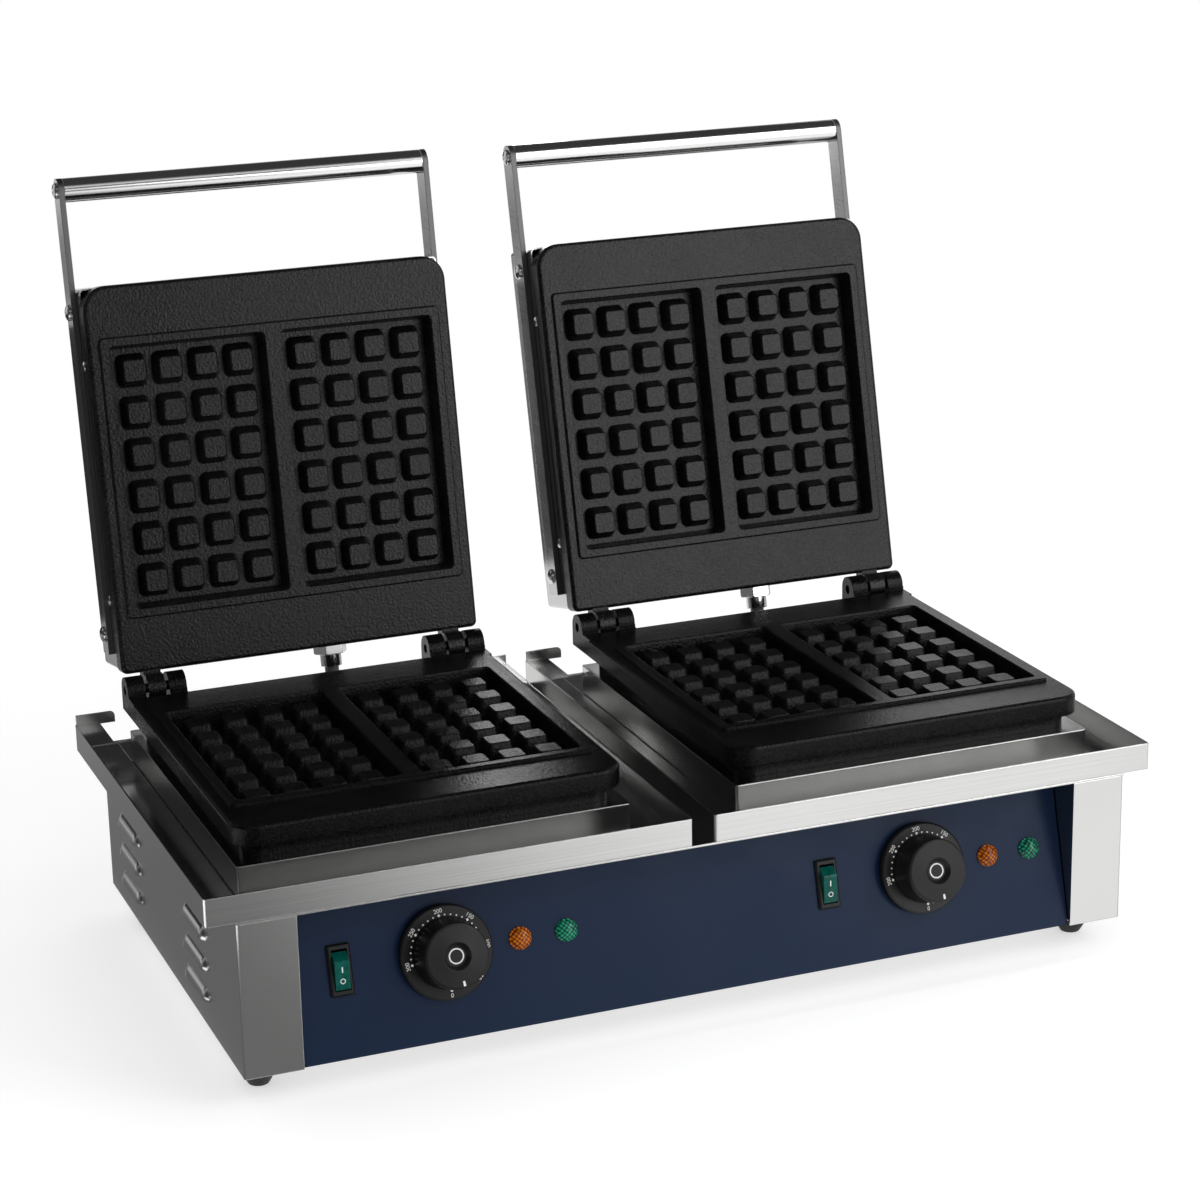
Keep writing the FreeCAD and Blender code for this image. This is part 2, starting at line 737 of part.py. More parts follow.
# Cast plate in its own frame: x across, y from its front edge to the hinge, contact face up at z = 0
def cast_plate(depth):
    half_w = plate_width / 2
    top = -frame_contact_gap / 2
    border = top - frame_rise
    under = border - lip_thickness
    lip = rounded_prism(-half_w, half_w, 0.0, plate_depth, under, border, plate_corner, plate_rear_corner)
    rim = edges_where(lip, lambda e: abs(e.CenterOfMass.z - border) < 0.01)
    lip = lip.makeFillet(plate_edge, rim)
    inner = rounded_prism(-half_w + body_inset, half_w - body_inset, body_inset, plate_depth - body_inset,
                          -depth, under + 1.0, body_corner, plate_rear_corner)
    frame_y = plate_front_border + frame_length / 2
    hx = frame_width / 2
    hy = frame_length / 2
    frame = frustum(0.0, frame_y,
                    [(hx, hy, border - 1.0, frame_corner), (hx, hy, top - frame_chamfer, frame_corner),
                     (hx - frame_chamfer, hy - frame_chamfer, top, frame_corner - frame_chamfer)])
    solid = lip.fuse([inner, frame]).removeSplitter()
    hollows = []
    studs = []
    stud_pitch_x = (field_width - 2 * stud_margin_x) / stud_columns
    stud_pitch_y = (field_length - 2 * stud_margin_y) / stud_rows
    floor = top - field_depth
    for side in (-1, 1):
        cx = side * (field_bar + field_width) / 2
        cy = frame_y
        fx = field_width / 2
        fy = field_length / 2
        hollows.append(frustum(cx, cy, [(fx - field_draft, fy - field_draft, floor, field_corner - 1.0),
                                        (fx - 0.5, fy - 0.5, top - 1.0, field_corner),
                                        (fx, fy, top, field_corner), (fx, fy, top + 2.0, field_corner)]))
        for column in range(stud_columns):
            for row in range(stud_rows):
                sx = cx + (column - (stud_columns - 1) / 2) * stud_pitch_x
                sy = cy + (row - (stud_rows - 1) / 2) * stud_pitch_y
                tip = floor + stud_height
                bx = stud_base_x / 2
                by = stud_base_y / 2
                tx = stud_top_x / 2
                ty = stud_top_y / 2
                studs.append(frustum(sx, sy, [(bx, by, floor - 0.5, 4.0),
                                              (tx + 0.7, ty + 0.7, tip - stud_edge, 2.2),
                                              (tx, ty, tip, 1.8)]))
    return solid.cut(hollows).fuse(studs)


def hinge_places():
    half_w = plate_width / 2
    ear_in = half_w - ear_width
    knuckle_out = ear_in - knuckle_room
    knuckle_in = knuckle_out - knuckle_width
    second_out = knuckle_in - knuckle_room
    return half_w, ear_in, knuckle_out, knuckle_in, second_out, second_out - ear_width


axis_y = plate_depth + hinge_back
ear_floor = -frame_contact_gap / 2 - frame_rise - lip_thickness


def ear(x0, x1):
    block = box(x0, x1, plate_depth - ear_root, axis_y + barrel_radius, ear_floor, 0.0)
    step = box(x0, x1, plate_depth - 2 * ear_root, plate_depth + ear_step,
               -frame_rise - ear_step, barrel_radius)
    barrel = disc((x0, axis_y, 0.0), (1, 0, 0), barrel_radius, x1 - x0)
    return block.cut(step).fuse(barrel).removeSplitter()


def knuckle(x0, x1):
    neck = box(x0, x1, plate_depth - knuckle_root, axis_y, -neck_low, -neck_top)
    barrel = disc((x0, axis_y, 0.0), (1, 0, 0), barrel_radius, x1 - x0)
    return neck.fuse(barrel).removeSplitter()


out_a, in_a, out_k, in_k, out_b, in_b = hinge_places()
lower_plate = cast_plate(lower_body_depth)
upper_plate = cast_plate(upper_body_depth)
ears = []
knuckles = []
for sign in (-1, 1):
    for first, last in ((out_a, in_a), (out_b, in_b)):
        ears.append(ear(min(sign * first, sign * last), max(sign * first, sign * last)))
    knuckles.append(knuckle(min(sign * out_k, sign * in_k), max(sign * out_k, sign * in_k)))
lower_plate = lower_plate.fuse(ears)
lower_plate = lower_plate.cut(disc((-plate_width, axis_y, 0.0), (1, 0, 0), pin_radius, 2 * plate_width))
upper_plate = upper_plate.fuse(knuckles)
upper_plate = upper_plate.cut(disc((-plate_width, axis_y, 0.0), (1, 0, 0), pin_radius + pin_fit,
                                   2 * plate_width))

# The upper plate is turned face down over the lower one
upper_plate.rotate(V(0, 0, 0), V(0, 1, 0), 180.0)
screw_depth = cover_screw_grip + cover_screw_end
for sign in (-1, 1):
    x = sign * (plate_width / 2 - body_inset - screw_depth)
    for y in cover_screw_positions:
        upper_plate = upper_plate.cut(disc((x, y, cover_screw_level), (sign, 0, 0), cover_screw_radius,
                                           2 * screw_depth))

pin_length = out_a - in_b - 2 * pin_recess
pins = []
for side, x, angle in units:
    for sign in (-1, 1):
        start = x + min(sign * (out_a - pin_recess), sign * (in_b + pin_recess))
        pins.append(disc((start, hinge_y, z_contact), (1, 0, 0), pin_radius, pin_length))
save_group("hinge_pins", pins)

# Heaters: a rod in even runs under a plate, and the plate with posts that presses it on
hx = plate_width / 2 - heater_inset_x
hy = plate_depth / 2 - heater_inset_y
step_x = 2 * hx / (heater_runs - 1)
runs = []
for index in range(heater_runs):
    x = -hx + step_x * index
    way = -1 if index % 2 else 1
    runs.append((x, way * hy, 0.0))
    runs.append((x, -way * hy, 0.0))
heater = bent_tube(runs, [heater_bend] * len(runs), heater_radius, (0, -1, 0))
clamp_top = -heater_radius
post_height = 2 * heater_radius + heater_gap
clamp_x = hx + heater_radius
clamp = box(-clamp_x, clamp_x, -clamp_half_y, clamp_half_y, clamp_top - clamp_sheet, clamp_top)
for index in range(heater_runs - 1):
    x = -hx + step_x * (index + 0.5)
    for y in (-clamp_post_y, clamp_post_y):
        clamp = clamp.fuse(disc((x, y, clamp_top - 0.5), (0, 0, 1), clamp_post_radius, post_height + 0.5))
heater_level = heater_radius + heater_gap

# Lid cover: an open box over the upper plate
half_c = plate_width / 2 - cover_inset
cover_low = frame_contact_gap / 2 + frame_rise + lip_thickness + cover_gap
cover_y0 = cover_inset
cover_y1 = plate_depth - cover_inset
cover = rounded_prism(-half_c, half_c, cover_y0, cover_y1, cover_low, cover_height,
                      cover_corner, cover_corner)
rim = edges_where(cover, lambda e: abs(e.CenterOfMass.z - cover_height) < 0.01)
cover = cover.makeFillet(cover_edge, rim)
cover_room = rounded_prism(-half_c + cover_sheet, half_c - cover_sheet, cover_y0 + cover_sheet,
                           cover_y1 - cover_sheet, cover_low - 1.0, cover_height - cover_sheet,
                           cover_corner - cover_sheet, cover_corner - cover_sheet)
cover = cover.cut(cover_room)
bolt_hole = bolt_radius + bolt_room
drills = [disc((gland_x, cover_y1 - 2 * cover_sheet, arm_level), (0, 1, 0),
               gland_thread_radius + gland_thread_room, 4 * cover_sheet)]
for sign in (-1, 1):
    x = sign * (half_c - 2 * cover_sheet)
    for y in bolt_positions:
        drills.append(disc((x, y, arm_level), (sign, 0, 0), bolt_hole, 4 * cover_sheet))
    for y in cover_screw_positions:
        drills.append(disc((x, y, cover_screw_level), (sign, 0, 0), cover_screw_radius + cover_screw_room,
                           4 * cover_sheet))
cover = cover.cut(drills)

# Handle arms, tube, bolts, rivets and cover screws
handle_y = -handle_reach
arm_in = half_c + arm_gap
arm_out = arm_in + arm_thickness
half_a = arm_width / 2


def arm():
    arm_rear = plate_depth - arm_rear_inset
    bar = box(arm_in, arm_out, handle_y, arm_rear, arm_level - half_a, arm_level + half_a)
    end = disc((arm_in, handle_y, arm_level), (1, 0, 0), half_a, arm_thickness)
    bar = bar.fuse(end).removeSplitter()
    for y in bolt_positions:
        bar = bar.cut(disc((arm_in - 1.0, y, arm_level), (1, 0, 0), bolt_hole, arm_thickness + 2.0))
    return bar.cut(disc((arm_in - 1.0, handle_y, arm_level), (1, 0, 0), rivet_radius + rivet_room,
                        arm_thickness + 2.0))


def domed_pin(head_radius, head, shank_radius, length):
    outline = [(0.0, -length), (shank_radius, -length), (shank_radius, 0.0), (head_radius, 0.0),
               (head_radius, 0.5)]
    steps = 5
    for step in range(1, steps):
        a = math.pi / 2 * step / steps
        outline.append((head_radius * math.cos(a), 0.5 + (head - 0.5) * math.sin(a)))
    outline.append((0.0, head))
    return turned(outline)


def across(shape, y, z, x):
    # Turns a fastener's outward direction from +Z to +X and sets it at its place.
    copy = shape.copy()
    copy.rotate(V(0, 0, 0), V(0, 1, 0), 90.0)
    copy.translate(V(x, y, z))
    return copy


right_arm = arm()
bolt_shank = arm_thickness + arm_gap + cover_sheet + nut_height + bolt_end
arm_bolt = domed_pin(bolt_head_radius, bolt_head, bolt_radius, bolt_shank)
nut_level = -(arm_thickness + arm_gap + cover_sheet)
nut = prism([(nut_radius * math.cos(math.pi / 3 * k), nut_radius * math.sin(math.pi / 3 * k), nut_level)
             for k in range(6)], (0, 0, -nut_height))
arm_bolt = arm_bolt.fuse(nut)
rivet = domed_pin(rivet_head_radius, rivet_head, rivet_radius, arm_thickness + arm_gap + handle_plug)
tube_half = arm_in - arm_gap
tube = disc((-tube_half, handle_y, arm_level), (1, 0, 0), handle_radius, 2 * tube_half)
tube = tube.cut(disc((-tube_half + handle_plug, handle_y, arm_level), (1, 0, 0), handle_bore,
                     2 * (tube_half - handle_plug)))
tube = tube.cut(disc((-tube_half - 1.0, handle_y, arm_level), (1, 0, 0), rivet_radius, 2 * tube_half + 2.0))
screw = domed_pin(cover_screw_head_radius, cover_screw_head, cover_screw_radius,
                  body_inset - cover_inset + cover_screw_grip)
arm_bolts = []
rivets = []
cover_screws = []
for y in bolt_positions:
    arm_bolts.append(across(arm_bolt, y, arm_level, arm_out))
rivets.append(across(rivet, handle_y, arm_level, arm_out))
for y in cover_screw_positions:
    cover_screws.append(across(screw, y, cover_screw_level, half_c))
arm_bolts = arm_bolts + [mirror_x(s) for s in arm_bolts]
rivets = rivets + [mirror_x(s) for s in rivets]
cover_screws = cover_screws + [mirror_x(s) for s in cover_screws]

# Gland in the rear wall of the cover, along +Y when the lid is shut
def hexagon(across, z):
    radius = across / math.sqrt(3.0)
    return [(radius * math.cos(math.pi / 3 * k), radius * math.sin(math.pi / 3 * k), z) for k in range(6)]


hex_radius = gland_hex / math.sqrt(3.0)
gland = prism(hexagon(gland_hex, 0.0), (0, 0, gland_length))
gland = gland.common(Part.makeCone(hex_radius + gland_length, hex_radius - gland_chamfer, gland_length))
gland = gland.fuse(disc((0, 0, -cover_sheet - gland_thread), (0, 0, 1), gland_thread_radius,
                        cover_sheet + gland_thread + 1.0))
gland = gland.fuse(disc((0, 0, gland_length - 1.0), (0, 0, 1), gland_collar_radius, gland_collar + 1.0))
gland = gland.fuse(prism(hexagon(gland_hex - 2 * gland_chamfer, -cover_sheet), (0, 0, -gland_nut)))
gland = gland.removeSplitter()
gland = gland.cut(disc((0, 0, -2 * gland_hex), (0, 0, 1), lead_radius + lead_room, 4 * gland_hex))
gland.rotate(V(0, 0, 0), V(1, 0, 0), -90.0)
gland.translate(V(gland_x, cover_y1, arm_level))


# Lead from inside the lid through the gland, over to the deck bushing and down into the housing
def lid_lead(x, angle):
    turn = FreeCAD.Rotation(V(1, 0, 0), -angle)
    pivot = V(0, hinge_y, z_contact)
    way_out = turn.multVec(V(0, 1, 0))
    seat = turn.multVec(V(x + gland_x, y_plate + cover_y1, z_contact + arm_level) - pivot) + pivot
    inside = seat - way_out * lead_inside
    over = seat + way_out * (gland_length + gland_collar + lead_straight)
    drop = V(x + gland_x, bushing_y, bushing_top + lead_straight)
    end = V(x + gland_x, bushing_y, z_deck - lead_drop)
    points = (inside, over, drop, end)
    shorter = (drop - over).Length
    bends = []
    for before, corner, after in zip(points, points[1:], points[2:]):
        change = (corner - before).getAngle(after - corner)
        bends.append(lead_arc_share * shorter / math.tan(change / 2))
    lead = bent_tube(points, bends, lead_radius, way_out)
    print("lead bend radii", [round(bend, 1) for bend in bends])
    return lead


for side, x, angle in units:
    save("plinth_" + side, moved(plinth, x, 0.0, 0.0))
    save("drip_tray_" + side, moved(tray, x, 0.0, 0.0))
    save("lower_plate_" + side, moved(lower_plate, x, y_plate, z_contact))
    under_plate = z_plinth - heater_level
    save("lower_heater_" + side, moved(heater, x, plate_middle, under_plate))
    save("lower_clamp_" + side, moved(clamp, x, plate_middle, under_plate))
    lid = {
        "upper_plate_": upper_plate,
        "lid_cover_": cover,
        "handle_tube_": tube,
        "lid_gland_": gland,
        "handle_arms_": Part.makeCompound([right_arm, mirror_x(right_arm)]),
        "arm_bolts_": Part.makeCompound(arm_bolts),
        "handle_rivets_": Part.makeCompound(rivets),
        "cover_screws_": Part.makeCompound(cover_screws),
    }
    flipped_heater = moved(heater, 0.0, 0.0, 0.0)
    flipped_heater.rotate(V(0, 0, 0), V(0, 1, 0), 180.0)
    lid["upper_heater_"] = moved(flipped_heater, 0.0, plate_depth / 2, upper_body_depth + heater_level)
    flipped_clamp = moved(clamp, 0.0, 0.0, 0.0)
    flipped_clamp.rotate(V(0, 0, 0), V(0, 1, 0), 180.0)
    lid["upper_clamp_"] = moved(flipped_clamp, 0.0, plate_depth / 2, upper_body_depth + heater_level)
    for name, shape in lid.items():
        save(name + side, open_lid(moved(shape, x, y_plate, z_contact), angle))
    save("lid_lead_" + side, lid_lead(x, angle))

# Terminal block on the bottom plate and the inlet gland in the rear panel
z_floor = z_bottom + sheet
block_y = y_rear - terminal_from_rear
block = box(mains_x - terminal_width / 2, mains_x + terminal_width / 2, block_y, block_y + terminal_depth,
            z_floor, z_floor + terminal_height)
for k in range(terminal_count):
    x = mains_x + (k - (terminal_count - 1) / 2) * terminal_pitch
    block = block.cut(disc((x, block_y - 1.0, z_floor + terminal_bore_level), (0, 1, 0), terminal_bore,
                           terminal_depth + 2.0))
    screw_floor = z_floor + terminal_height - terminal_screw_depth
    block = block.cut(disc((x, block_y + terminal_depth / 2, screw_floor), (0, 0, 1),
                           terminal_screw, terminal_height))
save("terminal_block", block)
inlet = prism(hexagon(mains_hex, 0.0), (0, 0, mains_hex_length))
inlet = inlet.fuse(Part.makeCone(mains_nose_radius, mains_nose_end_radius, mains_nose,
                                 V(0, 0, mains_hex_length)))
inlet = inlet.fuse(disc((0, 0, -sheet - mains_thread), (0, 0, 1),
                        mains_thread_radius, sheet + mains_thread + 1.0))
inlet = inlet.fuse(prism(hexagon(mains_hex, -sheet), (0, 0, -mains_nut)))
inlet = inlet.cut(disc((0, 0, -2 * mains_hex), (0, 0, 1), mains_bore, 4 * mains_hex))
inlet.rotate(V(0, 0, 0), V(1, 0, 0), -90.0)
inlet.translate(V(mains_x, y_rear, mains_height))
save("mains_gland", inlet)
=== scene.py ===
import json
import math

import bpy
import numpy as np
from mathutils import Matrix


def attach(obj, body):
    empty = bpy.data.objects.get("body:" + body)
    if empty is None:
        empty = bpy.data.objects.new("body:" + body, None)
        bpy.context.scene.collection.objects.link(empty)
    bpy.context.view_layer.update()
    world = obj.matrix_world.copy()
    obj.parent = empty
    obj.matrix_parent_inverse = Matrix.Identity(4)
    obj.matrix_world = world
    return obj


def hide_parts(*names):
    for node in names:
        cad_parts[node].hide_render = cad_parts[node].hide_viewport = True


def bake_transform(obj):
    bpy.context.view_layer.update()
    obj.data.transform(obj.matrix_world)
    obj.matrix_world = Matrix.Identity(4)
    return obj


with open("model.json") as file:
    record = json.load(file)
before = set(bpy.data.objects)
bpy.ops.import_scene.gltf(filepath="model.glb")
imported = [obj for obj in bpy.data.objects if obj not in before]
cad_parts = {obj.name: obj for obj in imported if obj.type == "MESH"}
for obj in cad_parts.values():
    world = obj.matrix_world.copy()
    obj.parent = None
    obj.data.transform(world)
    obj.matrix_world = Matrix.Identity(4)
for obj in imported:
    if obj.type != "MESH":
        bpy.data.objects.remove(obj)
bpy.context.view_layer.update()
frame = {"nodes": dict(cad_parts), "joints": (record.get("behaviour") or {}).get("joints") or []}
sides = ("left", "right")
full_turn = 360.0

# Camera of the photograph: angles in degrees, lengths in metres, lens and sensor in millimetres
view_azimuth = -21.577
view_elevation = 17.365
view_roll = 1.108
view_distance = 1.874989
view_target = np.array([0.00009, -0.0346, 0.212586])
view_lens = 93.263
sensor_width = 36.0
view_far = 50.0

# Printed marks on the knob: metres from its axis and from the panel's face, angles in degrees
skirt_face = 0.0064
grip_face = 0.0245
grip_crown = 0.0006
grip_edge = 0.0173
recess_edge = 0.0080
recess_floor = 0.0225
mark_lift = 0.00006
dial_numbers = (0, 50, 100, 150, 200, 250, 300)
dial_sweep = 280.0
dial_start = -90.0
number_height = 0.0034
number_radius = 0.0240

# Dots of the dial, in metres; a dot's middle and band are shares of its size
dot_line_radius = 0.02145
big_dot = 0.00075
small_dot = 0.00048
dot_middle = 0.5
dot_band = 0.98
dots_between = 4
dot_sides = 16

# Ring in the knob's recess and pointer on its grip, in metres, the angle in degrees
recess_ring_radius = 0.0041
recess_ring_width = 0.0008
recess_ring_sides = 48
pointer_angle = -82.0
pointer_radius = 0.0157
pointer_length = 0.0030
pointer_width = 0.0013
pointer_steps = 6

# Rocker marks, in metres: the facet's ends from the pivot, up the panel and out of it, then the marks
facet_low = np.array([-0.0092, 0.0066])
facet_high = np.array([0.0046, 0.0094])
line_mark_place = 0.0100
line_mark_length = 0.0034
line_mark_width = 0.0007
ring_mark_place = 0.0033
ring_mark_radius = 0.00135
ring_mark_width = 0.00045
ring_mark_sides = 32

# Lid leads, in metres: the gland's seat from the hinge with the lid shut, then the lead's route from it
lead_radius = 0.0045
lead_sides = 24
lead_steps = 24
gland_seat = np.array([0.025, -0.0105, 0.0305])
lead_inside = 0.012
gland_mouth = 0.017
lead_straight = 0.008
bushing_y = 0.1079
bushing_top = 0.1130
lead_end = 0.0655

# Studio: light strengths, lamp powers in watts, places and sizes in metres
white = (1.0, 1.0, 1.0, 1.0)
sky_light = 0.75
floor_half = 9.0
floor_level = -0.0002
floor_grey = (0.58, 0.58, 0.58, 1.0)
floor_glow = 0.52
shadow_ends = (0.45, 1.05)
key_lamp = {"place": (1.6, -1.6, 1.7), "aim": (0.0, 0.0, 0.15), "size": (1.4, 1.2), "power": 18.0}
top_lamp = {"place": (0.0, 0.2, 2.2), "aim": (0.0, 0.0, 0.1), "size": (2.0, 1.6), "power": 5.0}


def joint_named(name):
    """The frame's joint of that name."""
    return next(joint for joint in frame["joints"] if joint["name"] == name)


across = np.array([1.0, 0.0, 0.0])
outward = -np.array(joint_named("knob_left_turn")["axis"], float)
outward /= np.linalg.norm(outward)
upward = np.cross(outward, across)


def on_panel(centre, points):
    """Panel points (right, up the slope, out of the panel) added to a centre in the frame."""
    return np.asarray(centre, float) + np.asarray(points, float) @ np.stack([across, upward, outward])


# Node helpers


def add(tree, kind, values=None, **settings):
    """A node with its settings, and values for its input sockets by name or number."""
    node = tree.nodes.new(kind)
    for key, value in settings.items():
        setattr(node, key, value)
    for key, value in (values or {}).items():
        node.inputs[key].default_value = value
    return node


def feed(tree, socket, value):
    """Puts a number on a socket, or links another socket to it."""
    if isinstance(value, (int, float)):
        socket.default_value = value
    else:
        tree.links.new(value, socket)


def math_node(tree, operation, first, second=None, clamp=False):
    """The output of a math node whose inputs are sockets or numbers."""
    node = add(tree, "ShaderNodeMath", operation=operation, use_clamp=clamp)
    feed(tree, node.inputs[0], first)
    if second is not None:
        feed(tree, node.inputs[1], second)
    return node.outputs[0]


def mixed(tree, first, second, share):
    """Two values added, the first times a share and the second times the rest."""
    first_part = math_node(tree, "MULTIPLY", first, share)
    second_part = math_node(tree, "MULTIPLY", second, 1.0 - share)
    return math_node(tree, "ADD", first_part, second_part)


def map_range(tree, value, old_ends, new_low, new_high, **settings):
    """A value's range between two ends carried over to a new one, whose ends are numbers or sockets."""
    node = add(tree, "ShaderNodeMapRange", {"From Min": old_ends[0], "From Max": old_ends[1]}, **settings)
    tree.links.new(value, node.inputs["Value"])
    feed(tree, node.inputs["To Min"], new_low)
    feed(tree, node.inputs["To Max"], new_high)
    return node.outputs["Result"]


def noise(tree, vector, scale, detail=3.0, roughness=0.55):
    """The value of a noise texture on a vector."""
    node = add(tree, "ShaderNodeTexNoise", {"Detail": detail, "Roughness": roughness})
    tree.links.new(vector, node.inputs["Vector"])
    feed(tree, node.inputs["Scale"], scale)
    return node.outputs["Fac"]


def object_place(tree):
    """Object coordinates."""
    return add(tree, "ShaderNodeTexCoord").outputs["Object"]


def along_way(tree, vector, way):
    """How far a vector reaches along a fixed way."""
    node = add(tree, "ShaderNodeVectorMath", {1: tuple(way)}, operation="DOT_PRODUCT")
    tree.links.new(vector, node.inputs[0])
    return node.outputs["Value"]


def parts_of(tree, vector):
    """The X, Y and Z outputs of a vector."""
    node = add(tree, "ShaderNodeSeparateXYZ")
    tree.links.new(vector, node.inputs[0])
    return node.outputs


# Shader node groups


def new_group(name, inputs, outputs):
    """An empty node group with named sockets: inputs are (name, kind, default), outputs (name, kind)."""
    group = bpy.data.node_groups.new(name, "ShaderNodeTree")
    for label, kind, value in inputs:
        socket = group.interface.new_socket(label, in_out="INPUT", socket_type=kind)
        socket.default_value = value
    for label, kind in outputs:
        group.interface.new_socket(label, in_out="OUTPUT", socket_type=kind)
    start = group.nodes.new("NodeGroupInput")
    end = group.nodes.new("NodeGroupOutput")
    return group, start, end


def make_brushing_group():
    """Brush lines: noise on coordinates that are squeezed across the lines and stretched along them."""
    inputs = (("Stretch", "NodeSocketVector", (4.0, 900.0, 900.0)), ("Rough Low", "NodeSocketFloat", 0.25),
              ("Rough High", "NodeSocketFloat", 0.42))
    outputs = (("Streak", "NodeSocketFloat"), ("Roughness", "NodeSocketFloat"), ("Tone", "NodeSocketFloat"))
    group, start, end = new_group("Brush lines", inputs, outputs)
    cloud_scale = 7.0
    streak_share = 0.6
    both_ends = (0.3, 0.7)
    place = object_place(group)
    lines = add(group, "ShaderNodeVectorMath", operation="MULTIPLY")
    group.links.new(place, lines.inputs[0])
    group.links.new(start.outputs["Stretch"], lines.inputs[1])
    streak = noise(group, lines.outputs["Vector"], 1.0)
    cloud = noise(group, place, cloud_scale)
    both = mixed(group, streak, cloud, streak_share)
    rough = map_range(group, both, both_ends, start.outputs["Rough Low"], start.outputs["Rough High"])
    group.links.new(streak, end.inputs["Streak"])
    group.links.new(rough, end.inputs["Roughness"])
    group.links.new(map_range(group, both, both_ends, 0.0, 1.0), end.inputs["Tone"])
    return group


def make_edge_group():
    """Edges: where a normal rounded over a small radius leaves the face's own normal; the finishes use this
    edge mask to paint a highlight.
    """
    inputs = (("Radius", "NodeSocketFloat", 0.0008), ("Gain", "NodeSocketFloat", 6.0))
    outputs = (("Edge", "NodeSocketFloat"), ("Normal", "NodeSocketVector"))
    group, start, end = new_group("Rounded edges", inputs, outputs)
    bevel_samples = 4
    bevel = add(group, "ShaderNodeBevel", samples=bevel_samples)
    group.links.new(start.outputs["Radius"], bevel.inputs["Radius"])
    face = add(group, "ShaderNodeNewGeometry")
    dot = add(group, "ShaderNodeVectorMath", operation="DOT_PRODUCT")
    group.links.new(bevel.outputs["Normal"], dot.inputs[0])
    group.links.new(face.outputs["Normal"], dot.inputs[1])
    gone = math_node(group, "SUBTRACT", 1.0, dot.outputs["Value"])
    edge = math_node(group, "MULTIPLY", gone, start.outputs["Gain"], clamp=True)
    group.links.new(edge, end.inputs["Edge"])
    group.links.new(bevel.outputs["Normal"], end.inputs["Normal"])
    return group


def make_grain_group():
    """Skin grain: fine noise for the pits, coarser noise for the gloss, and both for the tone."""
    inputs = (("Pit Scale", "NodeSocketFloat", 900.0), ("Cloud Scale", "NodeSocketFloat", 30.0),
              ("Rough Low", "NodeSocketFloat", 0.3), ("Rough High", "NodeSocketFloat", 0.5))
    outputs = (("Height", "NodeSocketFloat"), ("Tone", "NodeSocketFloat"), ("Roughness", "NodeSocketFloat"))
    group, start, end = new_group("Skin grain", inputs, outputs)
    pit_detail = 2.5
    pit_roughness = 0.6
    pit_share = 0.7
    cloud_ends = (0.35, 0.65)
    tone_ends = (0.36, 0.64)
    place = object_place(group)
    pits = noise(group, place, start.outputs["Pit Scale"], pit_detail, pit_roughness)
    cloud = noise(group, place, start.outputs["Cloud Scale"])
    rough = map_range(group, cloud, cloud_ends, start.outputs["Rough Low"], start.outputs["Rough High"])
    both = mixed(group, pits, cloud, pit_share)
    group.links.new(pits, end.inputs["Height"])
    group.links.new(map_range(group, both, tone_ends, 0.0, 1.0), end.inputs["Tone"])
    group.links.new(rough, end.inputs["Roughness"])
    return group


brushing = make_brushing_group()
edges = make_edge_group()
grain = make_grain_group()


# Materials: how brush lines stretch, then values of the finishes; a bump is a strength and a depth in metres

along_x = (5.0, 1600.0, 1600.0)
along_y = (1600.0, 5.0, 1600.0)
brush_bump = (0.03, 0.00005)
steel_edge_radius = 0.0008
small_edge_radius = 0.0004
steel_edge_gain = 4.0
# Painted highlight: steel edges turn this share of the way to a pale tone
steel_highlight_tone = (0.86, 0.86, 0.85)
steel_highlight_share = 0.5
cut_ends = (0.3, 0.7)
skin_edge_radius = 0.0007
skin_edge_gain = 3.0
lattice_turn = 1150.0
lattice_ends = (0.05, 0.45)
lens_pit_scale = 500.0
lens_rough = (0.12, 0.22)
lens_bump = (0.15, 0.0002)
braid_strands = 8.0 * math.pi
braid_pitch = 36.0 * math.pi
braid_rough = (0.7, 0.42)
braid_bump = (0.5, 0.0004)


def new_material(name, **shader_values):
    """A material with one Principled shader whose fixed values are set on its own sockets."""
    material = bpy.data.materials.new(name)
    material.use_nodes = True
    tree = material.node_tree
    shader = tree.nodes["Principled BSDF"]
    for key, value in shader_values.items():
        shader.inputs[key.replace("_", " ")].default_value = value
    return material, tree, shader


def use_group(tree, group, **values):
    """A node group placed in a material, with its own values."""
    node = add(tree, "ShaderNodeGroup", node_tree=group)
    for key, value in values.items():
        node.inputs[key.replace("_", " ")].default_value = value
    return node


def two_tones(tree, factor, dark, light):
    """A colour that goes from dark to light with a factor."""
    ramp = add(tree, "ShaderNodeValToRGB")
    ramp.color_ramp.elements[0].color = (*dark, 1.0)
    ramp.color_ramp.elements[1].color = (*light, 1.0)
    tree.links.new(factor, ramp.inputs["Fac"])
    return ramp.outputs["Color"]


def blended_colour(tree, colour, mask, other, share):
    """A colour that turns towards another one by a share of a mask."""
    mix = add(tree, "ShaderNodeMix", data_type="RGBA")
    tree.links.new(math_node(tree, "MULTIPLY", mask, share), mix.inputs["Factor"])
    tree.links.new(colour, mix.inputs["A"])
    mix.inputs["B"].default_value = (*other, 1.0)
    return mix.outputs["Result"]


def bumped(tree, shader, height, bump, normal=None):
    """A bump of (strength, distance) on the shader's normal, over another normal where one is given."""
    node = add(tree, "ShaderNodeBump", {"Strength": bump[0], "Distance": bump[1]})
    tree.links.new(height, node.inputs["Height"])
    if normal is not None:
        tree.links.new(normal, node.inputs["Normal"])
    tree.links.new(node.outputs["Normal"], shader.inputs["Normal"])


